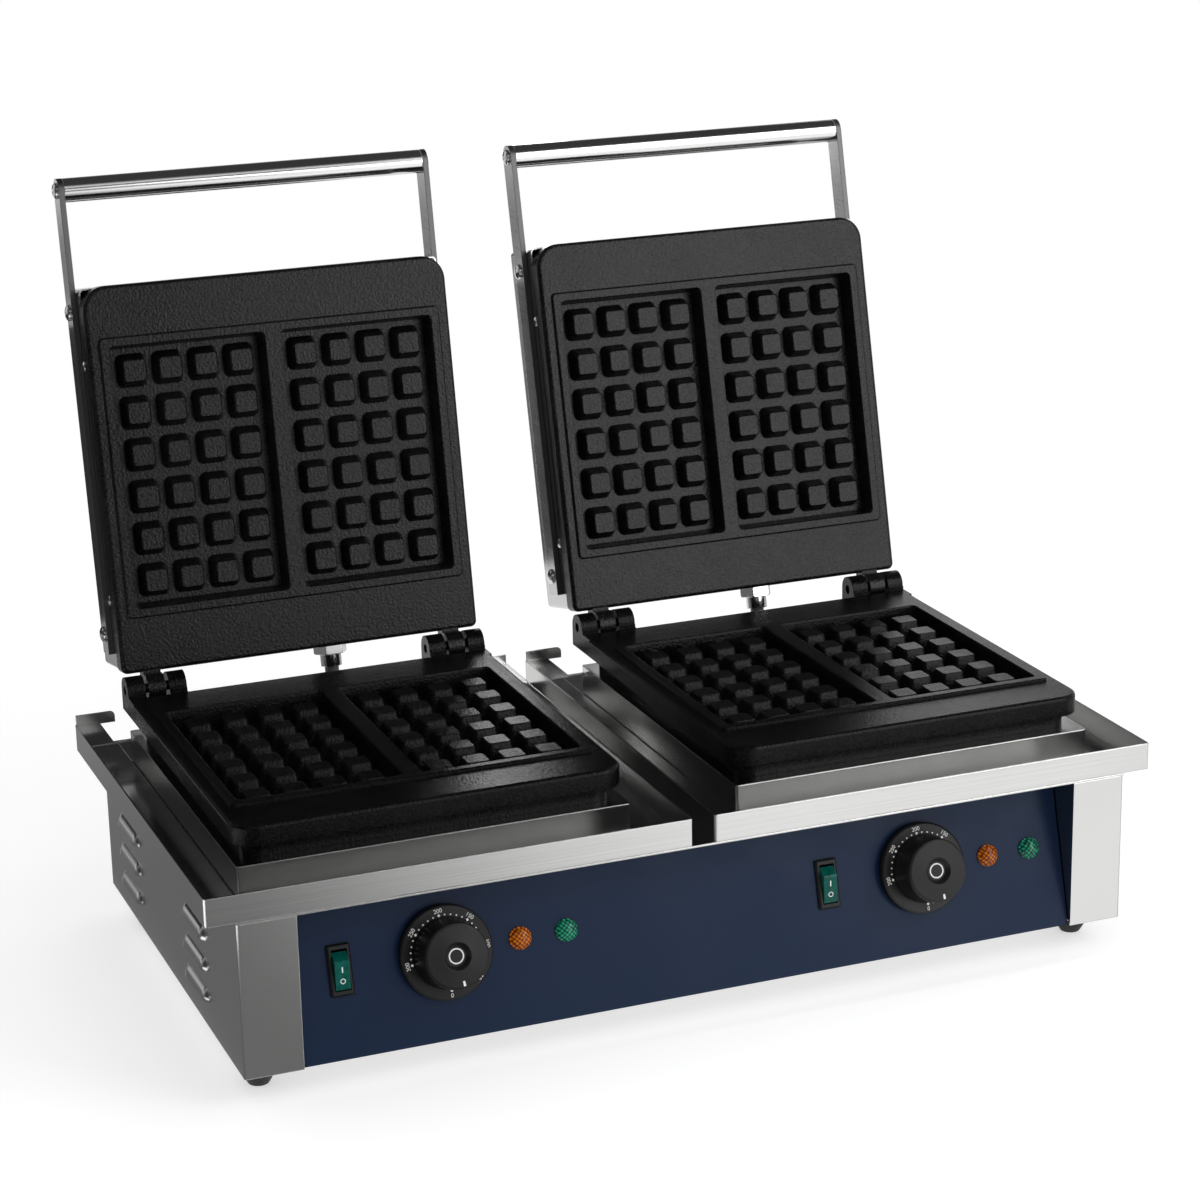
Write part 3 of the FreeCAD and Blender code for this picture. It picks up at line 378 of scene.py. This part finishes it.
def brushed_metal(name, dark, light, stretch, rough, edge_radius=steel_edge_radius):
    """Steel with brush lines along the axis that stretch leaves long, its edges paled as a painted highlight.
    """
    material, tree, shader = new_material(name, Metallic=1.0)
    lines = use_group(tree, brushing, Stretch=stretch, Rough_Low=rough[0], Rough_High=rough[1])
    edge = use_group(tree, edges, Radius=edge_radius, Gain=steel_edge_gain)
    tone = two_tones(tree, lines.outputs["Tone"], dark, light)
    colour = blended_colour(tree, tone, edge.outputs["Edge"], steel_highlight_tone, steel_highlight_share)
    tree.links.new(colour, shader.inputs["Base Color"])
    tree.links.new(lines.outputs["Roughness"], shader.inputs["Roughness"])
    bumped(tree, shader, lines.outputs["Streak"], brush_bump, edge.outputs["Normal"])
    return material


def strip_metal(name, dark, light, stretch, rough, cut_tone, cut_rough):
    """Steel strip: brushed side faces, and dull cut edges where the surface doesn't look along X."""
    material, tree, shader = new_material(name, Metallic=1.0)
    lines = use_group(tree, brushing, Stretch=stretch, Rough_Low=rough[0], Rough_High=rough[1])
    edge = use_group(tree, edges, Radius=steel_edge_radius, Gain=steel_edge_gain)
    facing = parts_of(tree, add(tree, "ShaderNodeTexCoord").outputs["Normal"])
    cut = map_range(tree, math_node(tree, "ABSOLUTE", facing["X"]), cut_ends, 1.0, 0.0)
    tone = two_tones(tree, lines.outputs["Tone"], dark, light)
    dulled = map_range(tree, cut, (0.0, 1.0), lines.outputs["Roughness"], cut_rough)
    tree.links.new(blended_colour(tree, tone, cut, cut_tone, 1.0), shader.inputs["Base Color"])
    tree.links.new(dulled, shader.inputs["Roughness"])
    bumped(tree, shader, lines.outputs["Streak"], brush_bump, edge.outputs["Normal"])
    return material


def grained_skin(name, dark, light, pit_scale, rough, bump, edge_highlight_colour, edge_highlight_share, **shader_values):
    """A moulded, cast or painted skin: grain in tone, gloss and bump, and edges paled as a painted highlight.
    """
    material, tree, shader = new_material(name, **shader_values)
    skin = use_group(tree, grain, Pit_Scale=pit_scale, Rough_Low=rough[0], Rough_High=rough[1])
    edge = use_group(tree, edges, Radius=skin_edge_radius, Gain=skin_edge_gain)
    tone = two_tones(tree, skin.outputs["Tone"], dark, light)
    colour = blended_colour(tree, tone, edge.outputs["Edge"], edge_highlight_colour, edge_highlight_share)
    tree.links.new(colour, shader.inputs["Base Color"])
    tree.links.new(skin.outputs["Roughness"], shader.inputs["Roughness"])
    bumped(tree, shader, skin.outputs["Height"], bump, edge.outputs["Normal"])
    return material


def lens_material(name, deep, lit, glow):
    """A lamp lens: two sets of slanting ridges that cross, lighter where both are high."""
    material, tree, shader = new_material(name, IOR=1.3, Emission_Strength=glow)
    place = object_place(tree)
    rise = along_way(tree, place, upward)
    sideways = parts_of(tree, place)["X"]
    ridges = []
    for way in ("ADD", "SUBTRACT"):
        slant = math_node(tree, "MULTIPLY", math_node(tree, way, sideways, rise), lattice_turn)
        ridges.append(math_node(tree, "ABSOLUTE", math_node(tree, "SINE", slant)))
    lattice = math_node(tree, "MULTIPLY", *ridges)
    skin = use_group(tree, grain, Pit_Scale=lens_pit_scale, Rough_Low=lens_rough[0], Rough_High=lens_rough[1])
    tone = math_node(tree, "MULTIPLY", lattice, skin.outputs["Tone"])
    colour = two_tones(tree, map_range(tree, tone, lattice_ends, 0.0, 1.0), deep, lit)
    tree.links.new(colour, shader.inputs["Base Color"])
    tree.links.new(colour, shader.inputs["Emission Color"])
    tree.links.new(skin.outputs["Roughness"], shader.inputs["Roughness"])
    bumped(tree, shader, lattice, lens_bump)
    return material


def sleeve_material(name):
    """A braided sleeve: two sets of slanting strands from the tube's own map, with a painted highlight on the
    crowns and painted shade between strands.
    """
    material, tree, shader = new_material(name, IOR=1.5)
    wrap = parts_of(tree, add(tree, "ShaderNodeUVMap", uv_map="Wrap").outputs["UV"])
    around = math_node(tree, "MULTIPLY", wrap["X"], braid_strands)
    along = math_node(tree, "MULTIPLY", wrap["Y"], braid_pitch)
    strands = []
    for way in ("ADD", "SUBTRACT"):
        slant = math_node(tree, way, around, along)
        strands.append(math_node(tree, "ABSOLUTE", math_node(tree, "SINE", slant)))
    weave = math_node(tree, "MAXIMUM", *strands)
    # Painted highlight on the strands' crowns and painted shade between them
    colour = two_tones(tree, weave, (0.012, 0.012, 0.013), (0.09, 0.09, 0.09))
    tree.links.new(colour, shader.inputs["Base Color"])
    tree.links.new(map_range(tree, weave, (0.0, 1.0), *braid_rough), shader.inputs["Roughness"])
    bumped(tree, shader, weave, braid_bump)
    return material


# In each skin the pale edge colour and its share are a painted edge highlight; the printed marks take none
lid_cast = grained_skin("Cast iron skin of the lids", (0.0008, 0.0008, 0.0008), (0.009, 0.009, 0.009), 680.0,
                        (0.16, 0.25), (0.9, 0.0003), (0.03, 0.03, 0.03), 0.2, IOR=1.28)
# Same cast iron as the lids, with its tone darker as painted shade
shaded_lower_cast = grained_skin("Cast iron of the lower plates darkened as painted shade", (0.0006, 0.0006, 0.0006),
                          (0.006, 0.006, 0.006), 680.0, (0.16, 0.25), (0.9, 0.0003), (0.03, 0.03, 0.03), 0.2,
                          IOR=1.2)
navy_paint = grained_skin("Navy panel paint", (0.0038, 0.0130, 0.0375), (0.0058, 0.0160, 0.0435), 1500.0,
                          (0.30, 0.38), (0.08, 0.00005), (0.05, 0.06, 0.09), 0.3, IOR=1.2)
black_plastic = grained_skin("Black control plastic", (0.003, 0.003, 0.003), (0.012, 0.012, 0.012), 1800.0,
                             (0.34, 0.46), (0.10, 0.00006), (0.05, 0.05, 0.05), 0.3, IOR=1.3)
black_rubber = grained_skin("Foot rubber", (0.003, 0.003, 0.003), (0.010, 0.010, 0.010), 1200.0, (0.6, 0.8),
                            (0.2, 0.0001), (0.03, 0.03, 0.03), 0.3, IOR=1.45)
green_plastic = grained_skin("Green rocker plastic", (0.000, 0.055, 0.042), (0.003, 0.100, 0.080), 300.0,
                             (0.14, 0.24), (0.05, 0.0001), (0.06, 0.22, 0.17), 0.4, IOR=1.25)
ceramic = grained_skin("Terminal block", (0.60, 0.58, 0.54), (0.74, 0.72, 0.68), 900.0, (0.4, 0.55),
                       (0.1, 0.0001), (0.8, 0.8, 0.78), 0.3, IOR=1.5)
mark_white = grained_skin("Printed marks", (0.62, 0.62, 0.60), (0.80, 0.80, 0.78), 2500.0, (0.4, 0.5),
                          (0.05, 0.00003), (0.8, 0.8, 0.8), 0.0, IOR=1.5)
steel_x = brushed_metal("Steel brushed along the front", (0.50, 0.50, 0.495), (0.58, 0.58, 0.575),
                        along_x, (0.14, 0.21))
steel_y = brushed_metal("Steel brushed along the sides", (0.50, 0.50, 0.495), (0.58, 0.58, 0.575),
                        along_y, (0.14, 0.21))
bright_steel = brushed_metal("Polished handle steel", (0.60, 0.60, 0.595), (0.70, 0.70, 0.695),
                             along_x, (0.10, 0.15))
arm_steel = strip_metal("Handle arm strip", (0.46, 0.46, 0.455), (0.54, 0.54, 0.535), along_y, (0.16, 0.24),
                        (0.12, 0.12, 0.12), 0.45)
# The pins are painted dark as shade in the hinge knuckle gaps; their brush lines are real
shaded_pin_steel = brushed_metal("Pin steel darkened as painted shade", (0.05, 0.05, 0.05), (0.08, 0.08, 0.08),
                          along_x, (0.28, 0.40), small_edge_radius)
plated_steel = brushed_metal("Plated small steel", (0.55, 0.55, 0.54), (0.70, 0.70, 0.69),
                             along_x, (0.18, 0.30), small_edge_radius)
amber_lens = lens_material("Amber lens", (0.10, 0.015, 0.0005), (0.52, 0.14, 0.008), 0.12)
green_lens = lens_material("Green lens", (0.0005, 0.030, 0.018), (0.016, 0.27, 0.155), 0.08)
braided = sleeve_material("Lead sleeve")

node_materials = {
    "side_panel": steel_y, "rear_panel": steel_x, "top_deck": steel_x, "bottom_plate": steel_x,
    "plinth": steel_x, "drip_tray": steel_x, "lid_cover": steel_x,
    "handle_arms": arm_steel, "handle_tube": bright_steel,
    "arm_bolts": bright_steel, "handle_rivets": bright_steel, "cover_screws": bright_steel,
    "lid_gland": bright_steel, "lower_plate": shaded_lower_cast, "upper_plate": lid_cast,
    "control_panel": navy_paint, "knob": black_plastic, "switch_housing": black_plastic,
    "mains_gland": black_plastic, "feet": black_rubber, "deck_bushings": black_rubber,
    "rocker": green_plastic, "amber_lamps": amber_lens, "green_lamps": green_lens,
    "terminal_block": ceramic, "lid_lead": braided, "hinge_pins": shaded_pin_steel, "foot_bolts": plated_steel,
    "lower_heater": plated_steel, "upper_heater": plated_steel, "lower_clamp": plated_steel,
    "upper_clamp": plated_steel, "thermostat": plated_steel, "knob_spindle": plated_steel,
}
for name, node in frame["nodes"].items():
    kind = name.removesuffix("_left").removesuffix("_right")
    node.data.materials.clear()
    node.data.materials.append(node_materials[kind])


# New pieces


def grid_faces(rows, columns, closed):
    """Quads of a grid of points, row by row; a closed grid joins its last column to its first."""
    last = columns if closed else columns - 1
    row, column = np.meshgrid(np.arange(rows - 1), np.arange(last), indexing="ij")
    after = (column + 1) % columns
    quads = np.stack([row * columns + column, row * columns + after, (row + 1) * columns + after,
                      (row + 1) * columns + column], axis=-1)
    return quads.reshape(-1, 4).tolist()


def add_piece(name, points, faces, material):
    """A mesh object of points and faces, with its finish."""
    mesh = bpy.data.meshes.new(name)
    mesh.from_pydata(points.tolist(), [], faces)
    mesh.materials.append(material)
    made = bpy.data.objects.new(name, mesh)
    bpy.context.collection.objects.link(made)
    return made


def mesh_points(mesh):
    """A mesh's points as rows of an array."""
    points = np.empty(len(mesh.vertices) * 3)
    mesh.vertices.foreach_get("co", points)
    return points.reshape(-1, 3)


def ring_sector(radius, width, first, last, count):
    """A flat ring or part of one: two arcs, half a width outside and inside a radius, between two angles."""
    whole = last - first >= full_turn
    angle = np.radians(np.linspace(first, last, count, endpoint=not whole))
    reach, turn = np.meshgrid([radius + width / 2, radius - width / 2], angle, indexing="ij")
    points = np.stack([reach * np.cos(turn), reach * np.sin(turn), np.zeros_like(reach)], axis=-1)
    return points.reshape(-1, 3), grid_faces(2, count, whole)


def flat_strip(width, length):
    """A flat strip: half a width to each side, half a length up and down."""
    x, y = np.meshgrid([-width / 2, width / 2], [-length / 2, length / 2])
    return np.stack([x, y, np.zeros_like(x)], axis=-1).reshape(-1, 3), grid_faces(2, 2, False)


def dot_row():
    """Round dots: a ring with hardly a hole times each dot's size, evenly spaced on an arc round the axis."""
    per_number = dots_between + 1
    steps = (len(dial_numbers) - 1) * per_number
    index = np.arange(steps + 1)
    size = np.where(index % per_number == 0, big_dot, small_dot)
    place = np.radians(dial_start + dial_sweep * index / steps)
    centres = dot_line_radius * np.stack([np.cos(place), np.sin(place), np.zeros_like(place)], axis=-1)
    ring, quads = ring_sector(dot_middle, dot_band, 0.0, full_turn, dot_sides)
    points = centres[:, None, :] + size[:, None, None] * ring
    faces = np.array(quads) + len(ring) * index[:, None, None]
    return points.reshape(-1, 3), faces.reshape(-1, 4).tolist()


def dial_number(text, angle):
    """A number's filled outline in the dial's plane, its top turned away from the knob's axis."""
    curve = bpy.data.curves.new("number", "FONT")
    curve.body = text
    curve.size = number_height
    curve.align_x = "CENTER"
    curve.align_y = "CENTER"
    holder = bpy.data.objects.new("number", curve)
    mesh = bpy.data.meshes.new_from_object(holder)
    bpy.data.objects.remove(holder)
    turn = math.radians(angle)
    mesh.transform(Matrix.Rotation(turn - math.pi / 2, 4, "Z"))
    mesh.transform(Matrix.Translation((number_radius * math.cos(turn), number_radius * math.sin(turn), 0.0)))
    mesh.calc_loop_triangles()
    corners = np.empty(len(mesh.loop_triangles) * 3, int)
    mesh.loop_triangles.foreach_get("vertices", corners)
    points = mesh_points(mesh)
    bpy.data.meshes.remove(mesh)
    return points, corners.reshape(-1, 3).tolist()


def dial_pointer():
    """A short ring sector whose height follows the grip's crown, a cone from its edge to the recess."""
    half = math.degrees(pointer_width / pointer_radius) / 2
    points, faces = ring_sector(pointer_radius, pointer_length, pointer_angle - half, pointer_angle + half,
                                pointer_steps)
    reach = np.hypot(points[:, 0], points[:, 1])
    points[:, 2] = grip_crown * (grip_edge - reach) / (grip_edge - recess_edge)
    return points, faces


def dial_marks(side):
    """Printed dial: numbers and dots on the skirt, a pointer on the grip and a ring in the recess."""
    centre = joint_named(f"knob_{side}_turn")["pos_m"]
    step = dial_sweep / (len(dial_numbers) - 1)
    marks = []
    for index, number in enumerate(dial_numbers):
        marks.append((f"dial_{number}", dial_number(str(number), dial_start + step * index), skirt_face))
    marks.append(("dial_dots", dot_row(), skirt_face))
    marks.append(("dial_pointer", dial_pointer(), grip_face))
    recess_ring = ring_sector(recess_ring_radius, recess_ring_width, 0.0, full_turn, recess_ring_sides)
    marks.append(("recess_ring", recess_ring, recess_floor))
    for label, (points, faces), level in marks:
        placed = on_panel(centre, points + (0.0, 0.0, level + mark_lift))
        made = add_piece(f"{label}_{side}", placed, faces, mark_white)
        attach(made, f"knob_{side}")


def rocker_marks(side):
    """A line and a ring printed on the rocker's long facet, laid along the facet's own slope."""
    centre = joint_named(f"rocker_{side}_tilt")["pos_m"]
    along = (facet_high - facet_low) / np.linalg.norm(facet_high - facet_low)
    out = np.array([-along[1], along[0]])
    line = flat_strip(line_mark_width, line_mark_length)
    ring = ring_sector(ring_mark_radius, ring_mark_width, 0.0, full_turn, ring_mark_sides)
    for label, (flat, faces), place in (("line", line, line_mark_place), ("ring", ring, ring_mark_place)):
        slope = facet_low + along * (place + flat[:, 1:2]) + out * mark_lift
        points = on_panel(centre, np.column_stack([flat[:, 0], slope]))
        made = add_piece(f"rocker_{label}_{side}", points, faces, mark_white)
        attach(made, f"rocker_{side}")


def smooth_line(points):
    """The points of a NURBS spline of order 3 whose control points are the given route."""
    curve = bpy.data.curves.new("route", "CURVE")
    curve.dimensions = "3D"
    spline = curve.splines.new("NURBS")
    spline.points.add(len(points) - 1)
    spline.points.foreach_set("co", np.column_stack([points, np.ones(len(points))]).ravel())
    spline.order_u = 3
    spline.use_endpoint_u = True
    spline.resolution_u = lead_steps
    holder = bpy.data.objects.new("route", curve)
    mesh = bpy.data.meshes.new_from_object(holder)
    bpy.data.objects.remove(holder)
    line = mesh_points(mesh)
    bpy.data.meshes.remove(mesh)
    return line


def wrap_map(mesh, line):
    """The tube's own map: turns round the tube, and length along it in girths."""
    run = np.concatenate([[0.0], np.cumsum(np.linalg.norm(np.diff(line, axis=0), axis=1))])
    around = np.tile(np.arange(lead_sides) / lead_sides, len(line))
    along = np.repeat(run / (2.0 * math.pi * lead_radius), lead_sides)
    corner = np.empty(len(mesh.loops), int)
    mesh.loops.foreach_get("vertex_index", corner)
    wrap = mesh.uv_layers.new(name="Wrap")
    wrap.data.foreach_set("uv", np.stack([around[corner], along[corner]], axis=-1).ravel())


def lid_lead(side):
    """A round tube: a circle in the plane across the line, carried along the lead's smooth line."""
    joint = joint_named(f"lid_{side}_hinge")
    opened = -math.radians(joint["range_deg"][1])
    turn = np.array(Matrix.Rotation(opened, 3, "X"))
    way_out = turn @ np.array([0.0, 1.0, 0.0])
    seat = np.array(joint["pos_m"]) + turn @ gland_seat
    mouth = seat + way_out * gland_mouth
    over = mouth + way_out * lead_straight
    entry = np.array([seat[0], bushing_y, bushing_top])
    drop = entry + (0.0, 0.0, lead_straight)
    end = np.array([seat[0], bushing_y, lead_end])
    line = smooth_line((end, entry, drop, over, mouth, seat - way_out * lead_inside))
    along = np.gradient(line, axis=0)
    along /= np.linalg.norm(along, axis=1, keepdims=True)
    aside = np.cross(along, across)
    angle = np.linspace(0.0, 2.0 * math.pi, lead_sides, endpoint=False)
    ring = np.cos(angle)[None, :, None] * across + np.sin(angle)[None, :, None] * aside[:, None, :]
    points = (line[:, None, :] + lead_radius * ring).reshape(-1, 3)
    caps = [list(range(lead_sides))[::-1], list(range(len(points) - lead_sides, len(points)))]
    faces = grid_faces(len(line), lead_sides, True) + caps
    made = add_piece(f"lead_sleeve_{side}", points, faces, braided)
    wrap_map(made.data, line)
    made.data.shade_smooth()
    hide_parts(f"lid_lead_{side}")
    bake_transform(made)


for side in sides:
    dial_marks(side)
    rocker_marks(side)
    lid_lead(side)


# Camera


def placed_matrix(right, up, back, place):
    """A matrix that turns an object to three directions and puts it at a place."""
    matrix = np.eye(4)
    matrix[:3, :] = np.stack([right, up, back, place], axis=1)
    return Matrix(matrix.tolist())


def add_camera():
    """The camera of the photograph: its angles round the target, its distance and its roll."""
    azimuth, elevation, roll = np.radians((view_azimuth, view_elevation, view_roll))
    back = np.array([math.cos(elevation) * math.sin(azimuth), -math.cos(elevation) * math.cos(azimuth),
                     math.sin(elevation)])
    level = np.array([math.cos(azimuth), math.sin(azimuth), 0.0])
    rise = np.cross(back, level)
    right = level * math.cos(roll) - rise * math.sin(roll)
    up = rise * math.cos(roll) + level * math.sin(roll)
    camera = bpy.data.cameras.new("Photograph")
    camera.lens = view_lens
    camera.sensor_width = sensor_width
    camera.clip_end = view_far
    eye = bpy.data.objects.new("Photograph", camera)
    bpy.context.collection.objects.link(eye)
    eye.matrix_world = placed_matrix(right, up, back, view_target + back * view_distance)
    return eye


scene = bpy.context.scene
scene.camera = add_camera()
scene.view_settings.view_transform = "Standard"


# Studio: white surroundings, a floor, soft lamps, and cards that only reflections see


def mix_shaders(tree, factor, first, second, output):
    """Two shaders mixed by a factor, on an output's surface."""
    mix = add(tree, "ShaderNodeMixShader")
    tree.links.new(factor, mix.inputs["Fac"])
    tree.links.new(first, mix.inputs[1])
    tree.links.new(second, mix.inputs[2])
    tree.links.new(mix.outputs[0], output.inputs["Surface"])


def studio_world():
    """Soft light on the object, and white where the camera, a reflection or glass sees the world."""
    world = bpy.data.worlds.new("Studio")
    world.use_nodes = True
    tree = world.node_tree
    light = tree.nodes["Background"]
    light.inputs["Color"].default_value = white
    light.inputs["Strength"].default_value = sky_light
    shown = add(tree, "ShaderNodeBackground", {"Color": white, "Strength": 1.0})
    rays = add(tree, "ShaderNodeLightPath").outputs
    seen = math_node(tree, "MAXIMUM", rays["Is Camera Ray"], rays["Is Glossy Ray"])
    seen = math_node(tree, "MAXIMUM", seen, rays["Is Transmission Ray"])
    mix_shaders(tree, seen, light.outputs[0], shown.outputs[0], tree.nodes["World Output"])
    return world


def floor_material():
    """Pale floor that takes the shadow near the object; plain white away from it and in reflections."""
    material, tree, shader = new_material("Studio floor", Roughness=0.9, Base_Color=floor_grey,
                                          Emission_Color=white, Emission_Strength=floor_glow)
    reach = add(tree, "ShaderNodeVectorMath", operation="LENGTH")
    tree.links.new(object_place(tree), reach.inputs[0])
    fade = map_range(tree, reach.outputs["Value"], shadow_ends, 0.0, 1.0, interpolation_type="SMOOTHSTEP")
    rays = add(tree, "ShaderNodeLightPath").outputs
    seen = math_node(tree, "MAXIMUM", rays["Is Glossy Ray"], rays["Is Transmission Ray"])
    far = math_node(tree, "MULTIPLY", fade, rays["Is Camera Ray"])
    shown = add(tree, "ShaderNodeEmission", {"Color": white, "Strength": 1.0})
    factor = math_node(tree, "MAXIMUM", seen, far)
    mix_shaders(tree, factor, shader.outputs[0], shown.outputs[0], tree.nodes["Material Output"])
    return material


def card_material(name, way, ends, tones):
    """A glow whose grey runs between two tones, between two places along a way."""
    material = bpy.data.materials.new(name)
    material.use_nodes = True
    tree = material.node_tree
    tree.nodes.remove(tree.nodes["Principled BSDF"])
    along = along_way(tree, object_place(tree), way)
    tone = map_range(tree, along, ends, *tones, interpolation_type="SMOOTHSTEP")
    glow = add(tree, "ShaderNodeEmission", {"Color": white})
    tree.links.new(tone, glow.inputs["Strength"])
    tree.links.new(glow.outputs[0], tree.nodes["Material Output"].inputs["Surface"])
    return material


card_planes = {"flat": ((1, 0, 0), (0, 1, 0)), "side": ((0, 1, 0), (0, 0, 1)), "back": ((1, 0, 0), (0, 0, 1))}


def flat_card(name, plane, centre, halves, material):
    """A flat card: its centre plus and minus half its width and height along its plane's two directions."""
    right, up = np.array(card_planes[plane]) * np.array(halves)[:, None]
    corners = np.array(centre) + np.stack([-right - up, right - up, right + up, up - right])
    mesh = bpy.data.meshes.new(name)
    mesh.from_pydata(corners.tolist(), [], [(0, 1, 2, 3)])
    mesh.materials.append(material)
    card = bpy.data.objects.new(name, mesh)
    bpy.context.collection.objects.link(card)
    return card


# Cards: name, plane, centre, half width and height, then the way, ends and tones that the grey runs between
cards = (
    ("front_floor", "flat", (0.0, -1.45, 0.0006), (3.0, 1.25), (1, 0, 0), (-0.24, 0.16), (0.23, 1.32)),
    ("left_floor", "flat", (-1.64, 1.4, 0.0004), (1.36, 1.6), (0, 1, 0), (0.1, 1.5), (0.17, 0.75)),
    ("arm_floor", "flat", (-1.64, 2.45, 0.0006), (1.36, 0.55), (0, 1, 0), (2.45, 2.75), (0.2, 0.8)),
    ("left_wall", "side", (-1.9, 0.0, 1.25), (3.5, 1.25), (0, 1, 0), (0.3, 1.8), (0.05, 0.70)),
    ("ceiling", "flat", (0.0, 0.0, 2.5), (1.9, 3.5), (0, 1, 0), (-2.6, -1.3), (0.8, 0.05)),
    ("back_left", "back", (-2.0, 3.5, 1.25), (2.2, 1.25), (1, 0, 0), (-0.6, 0.2), (0.05, 0.8)),
    ("back_top", "back", (0.0, 3.4, 1.75), (4.2, 0.75), (0, 0, 1), (1.0, 1.5), (0.7, 0.2)),
    ("behind_left", "back", (-0.385, 0.34, 0.225), (0.365, 0.105), (1, 0, 0), (-1.0, 0.0), (0.03, 0.03)),
    ("behind_right", "back", (0.21, 0.34, 0.205), (0.12, 0.085), (1, 0, 0), (-1.0, 0.0), (0.03, 0.03)),
    ("left_glint", "flat", (-0.8, -0.25, 0.0008), (0.3, 0.25), (1, 0, 0), (-1.1, -0.5), (2.0, 2.0)),
    ("behind_camera", "back", (0.0, -3.6, 0.7), (4.0, 0.8), (1, 0, 0.5), (0.8, 1.9), (0.2, 4.6)),
    ("front_top", "back", (0.0, -3.6, 2.0), (4.0, 0.5), (1, 0, 0), (1.1, 1.9), (0.1, 4.6)),
    ("between_lids", "back", (0.18, 0.6, 0.43), (0.05, 0.09), (1, 0, 0), (0.1, 0.2), (6.0, 6.0)),
    ("beside_lids", "back", (0.58, 0.6, 0.43), (0.1, 0.1), (1, 0, 0), (0.4, 0.5), (1.8, 1.8)),
    ("right_floor", "flat", (1.64, 1.4, 0.0004), (1.36, 1.6), (0, 1, 0), (0.1, 1.5), (0.5, 0.95)),
    ("right_wall", "side", (2.6, 0.0, 1.25), (3.5, 1.25), (0, 0, 1), (0.2, 2.0), (0.9, 0.45)),
)


def reflected_card(label, plane, centre, halves, way, ends, tones):
    """A card that only reflections see."""
    name = f"card_{label}"
    card = flat_card(name, plane, centre, halves, card_material(name, way, ends, tones))
    card.visible_camera = False
    card.visible_diffuse = False
    card.visible_shadow = False


def area_lamp(name, place, aim, size, power):
    """A soft rectangular lamp at a place, turned towards an aim."""
    data = bpy.data.lights.new(name, "AREA")
    data.shape = "RECTANGLE"
    data.size, data.size_y = size
    data.energy = power
    lamp = bpy.data.objects.new(name, data)
    bpy.context.collection.objects.link(lamp)
    back = np.array(place) - np.array(aim)
    back /= np.linalg.norm(back)
    right = np.cross((0.0, 0.0, 1.0), back)
    right /= np.linalg.norm(right)
    lamp.matrix_world = placed_matrix(right, np.cross(back, right), back, place)
    return lamp


scene.world = studio_world()
flat_card("floor", "flat", (0.0, 0.0, floor_level), (floor_half, floor_half), floor_material())
for card in cards:
    reflected_card(*card)
area_lamp("Key", **key_lamp)
# The top lamp lights the object without showing in its steel
top = area_lamp("Top", **top_lamp)
top.visible_glossy = False
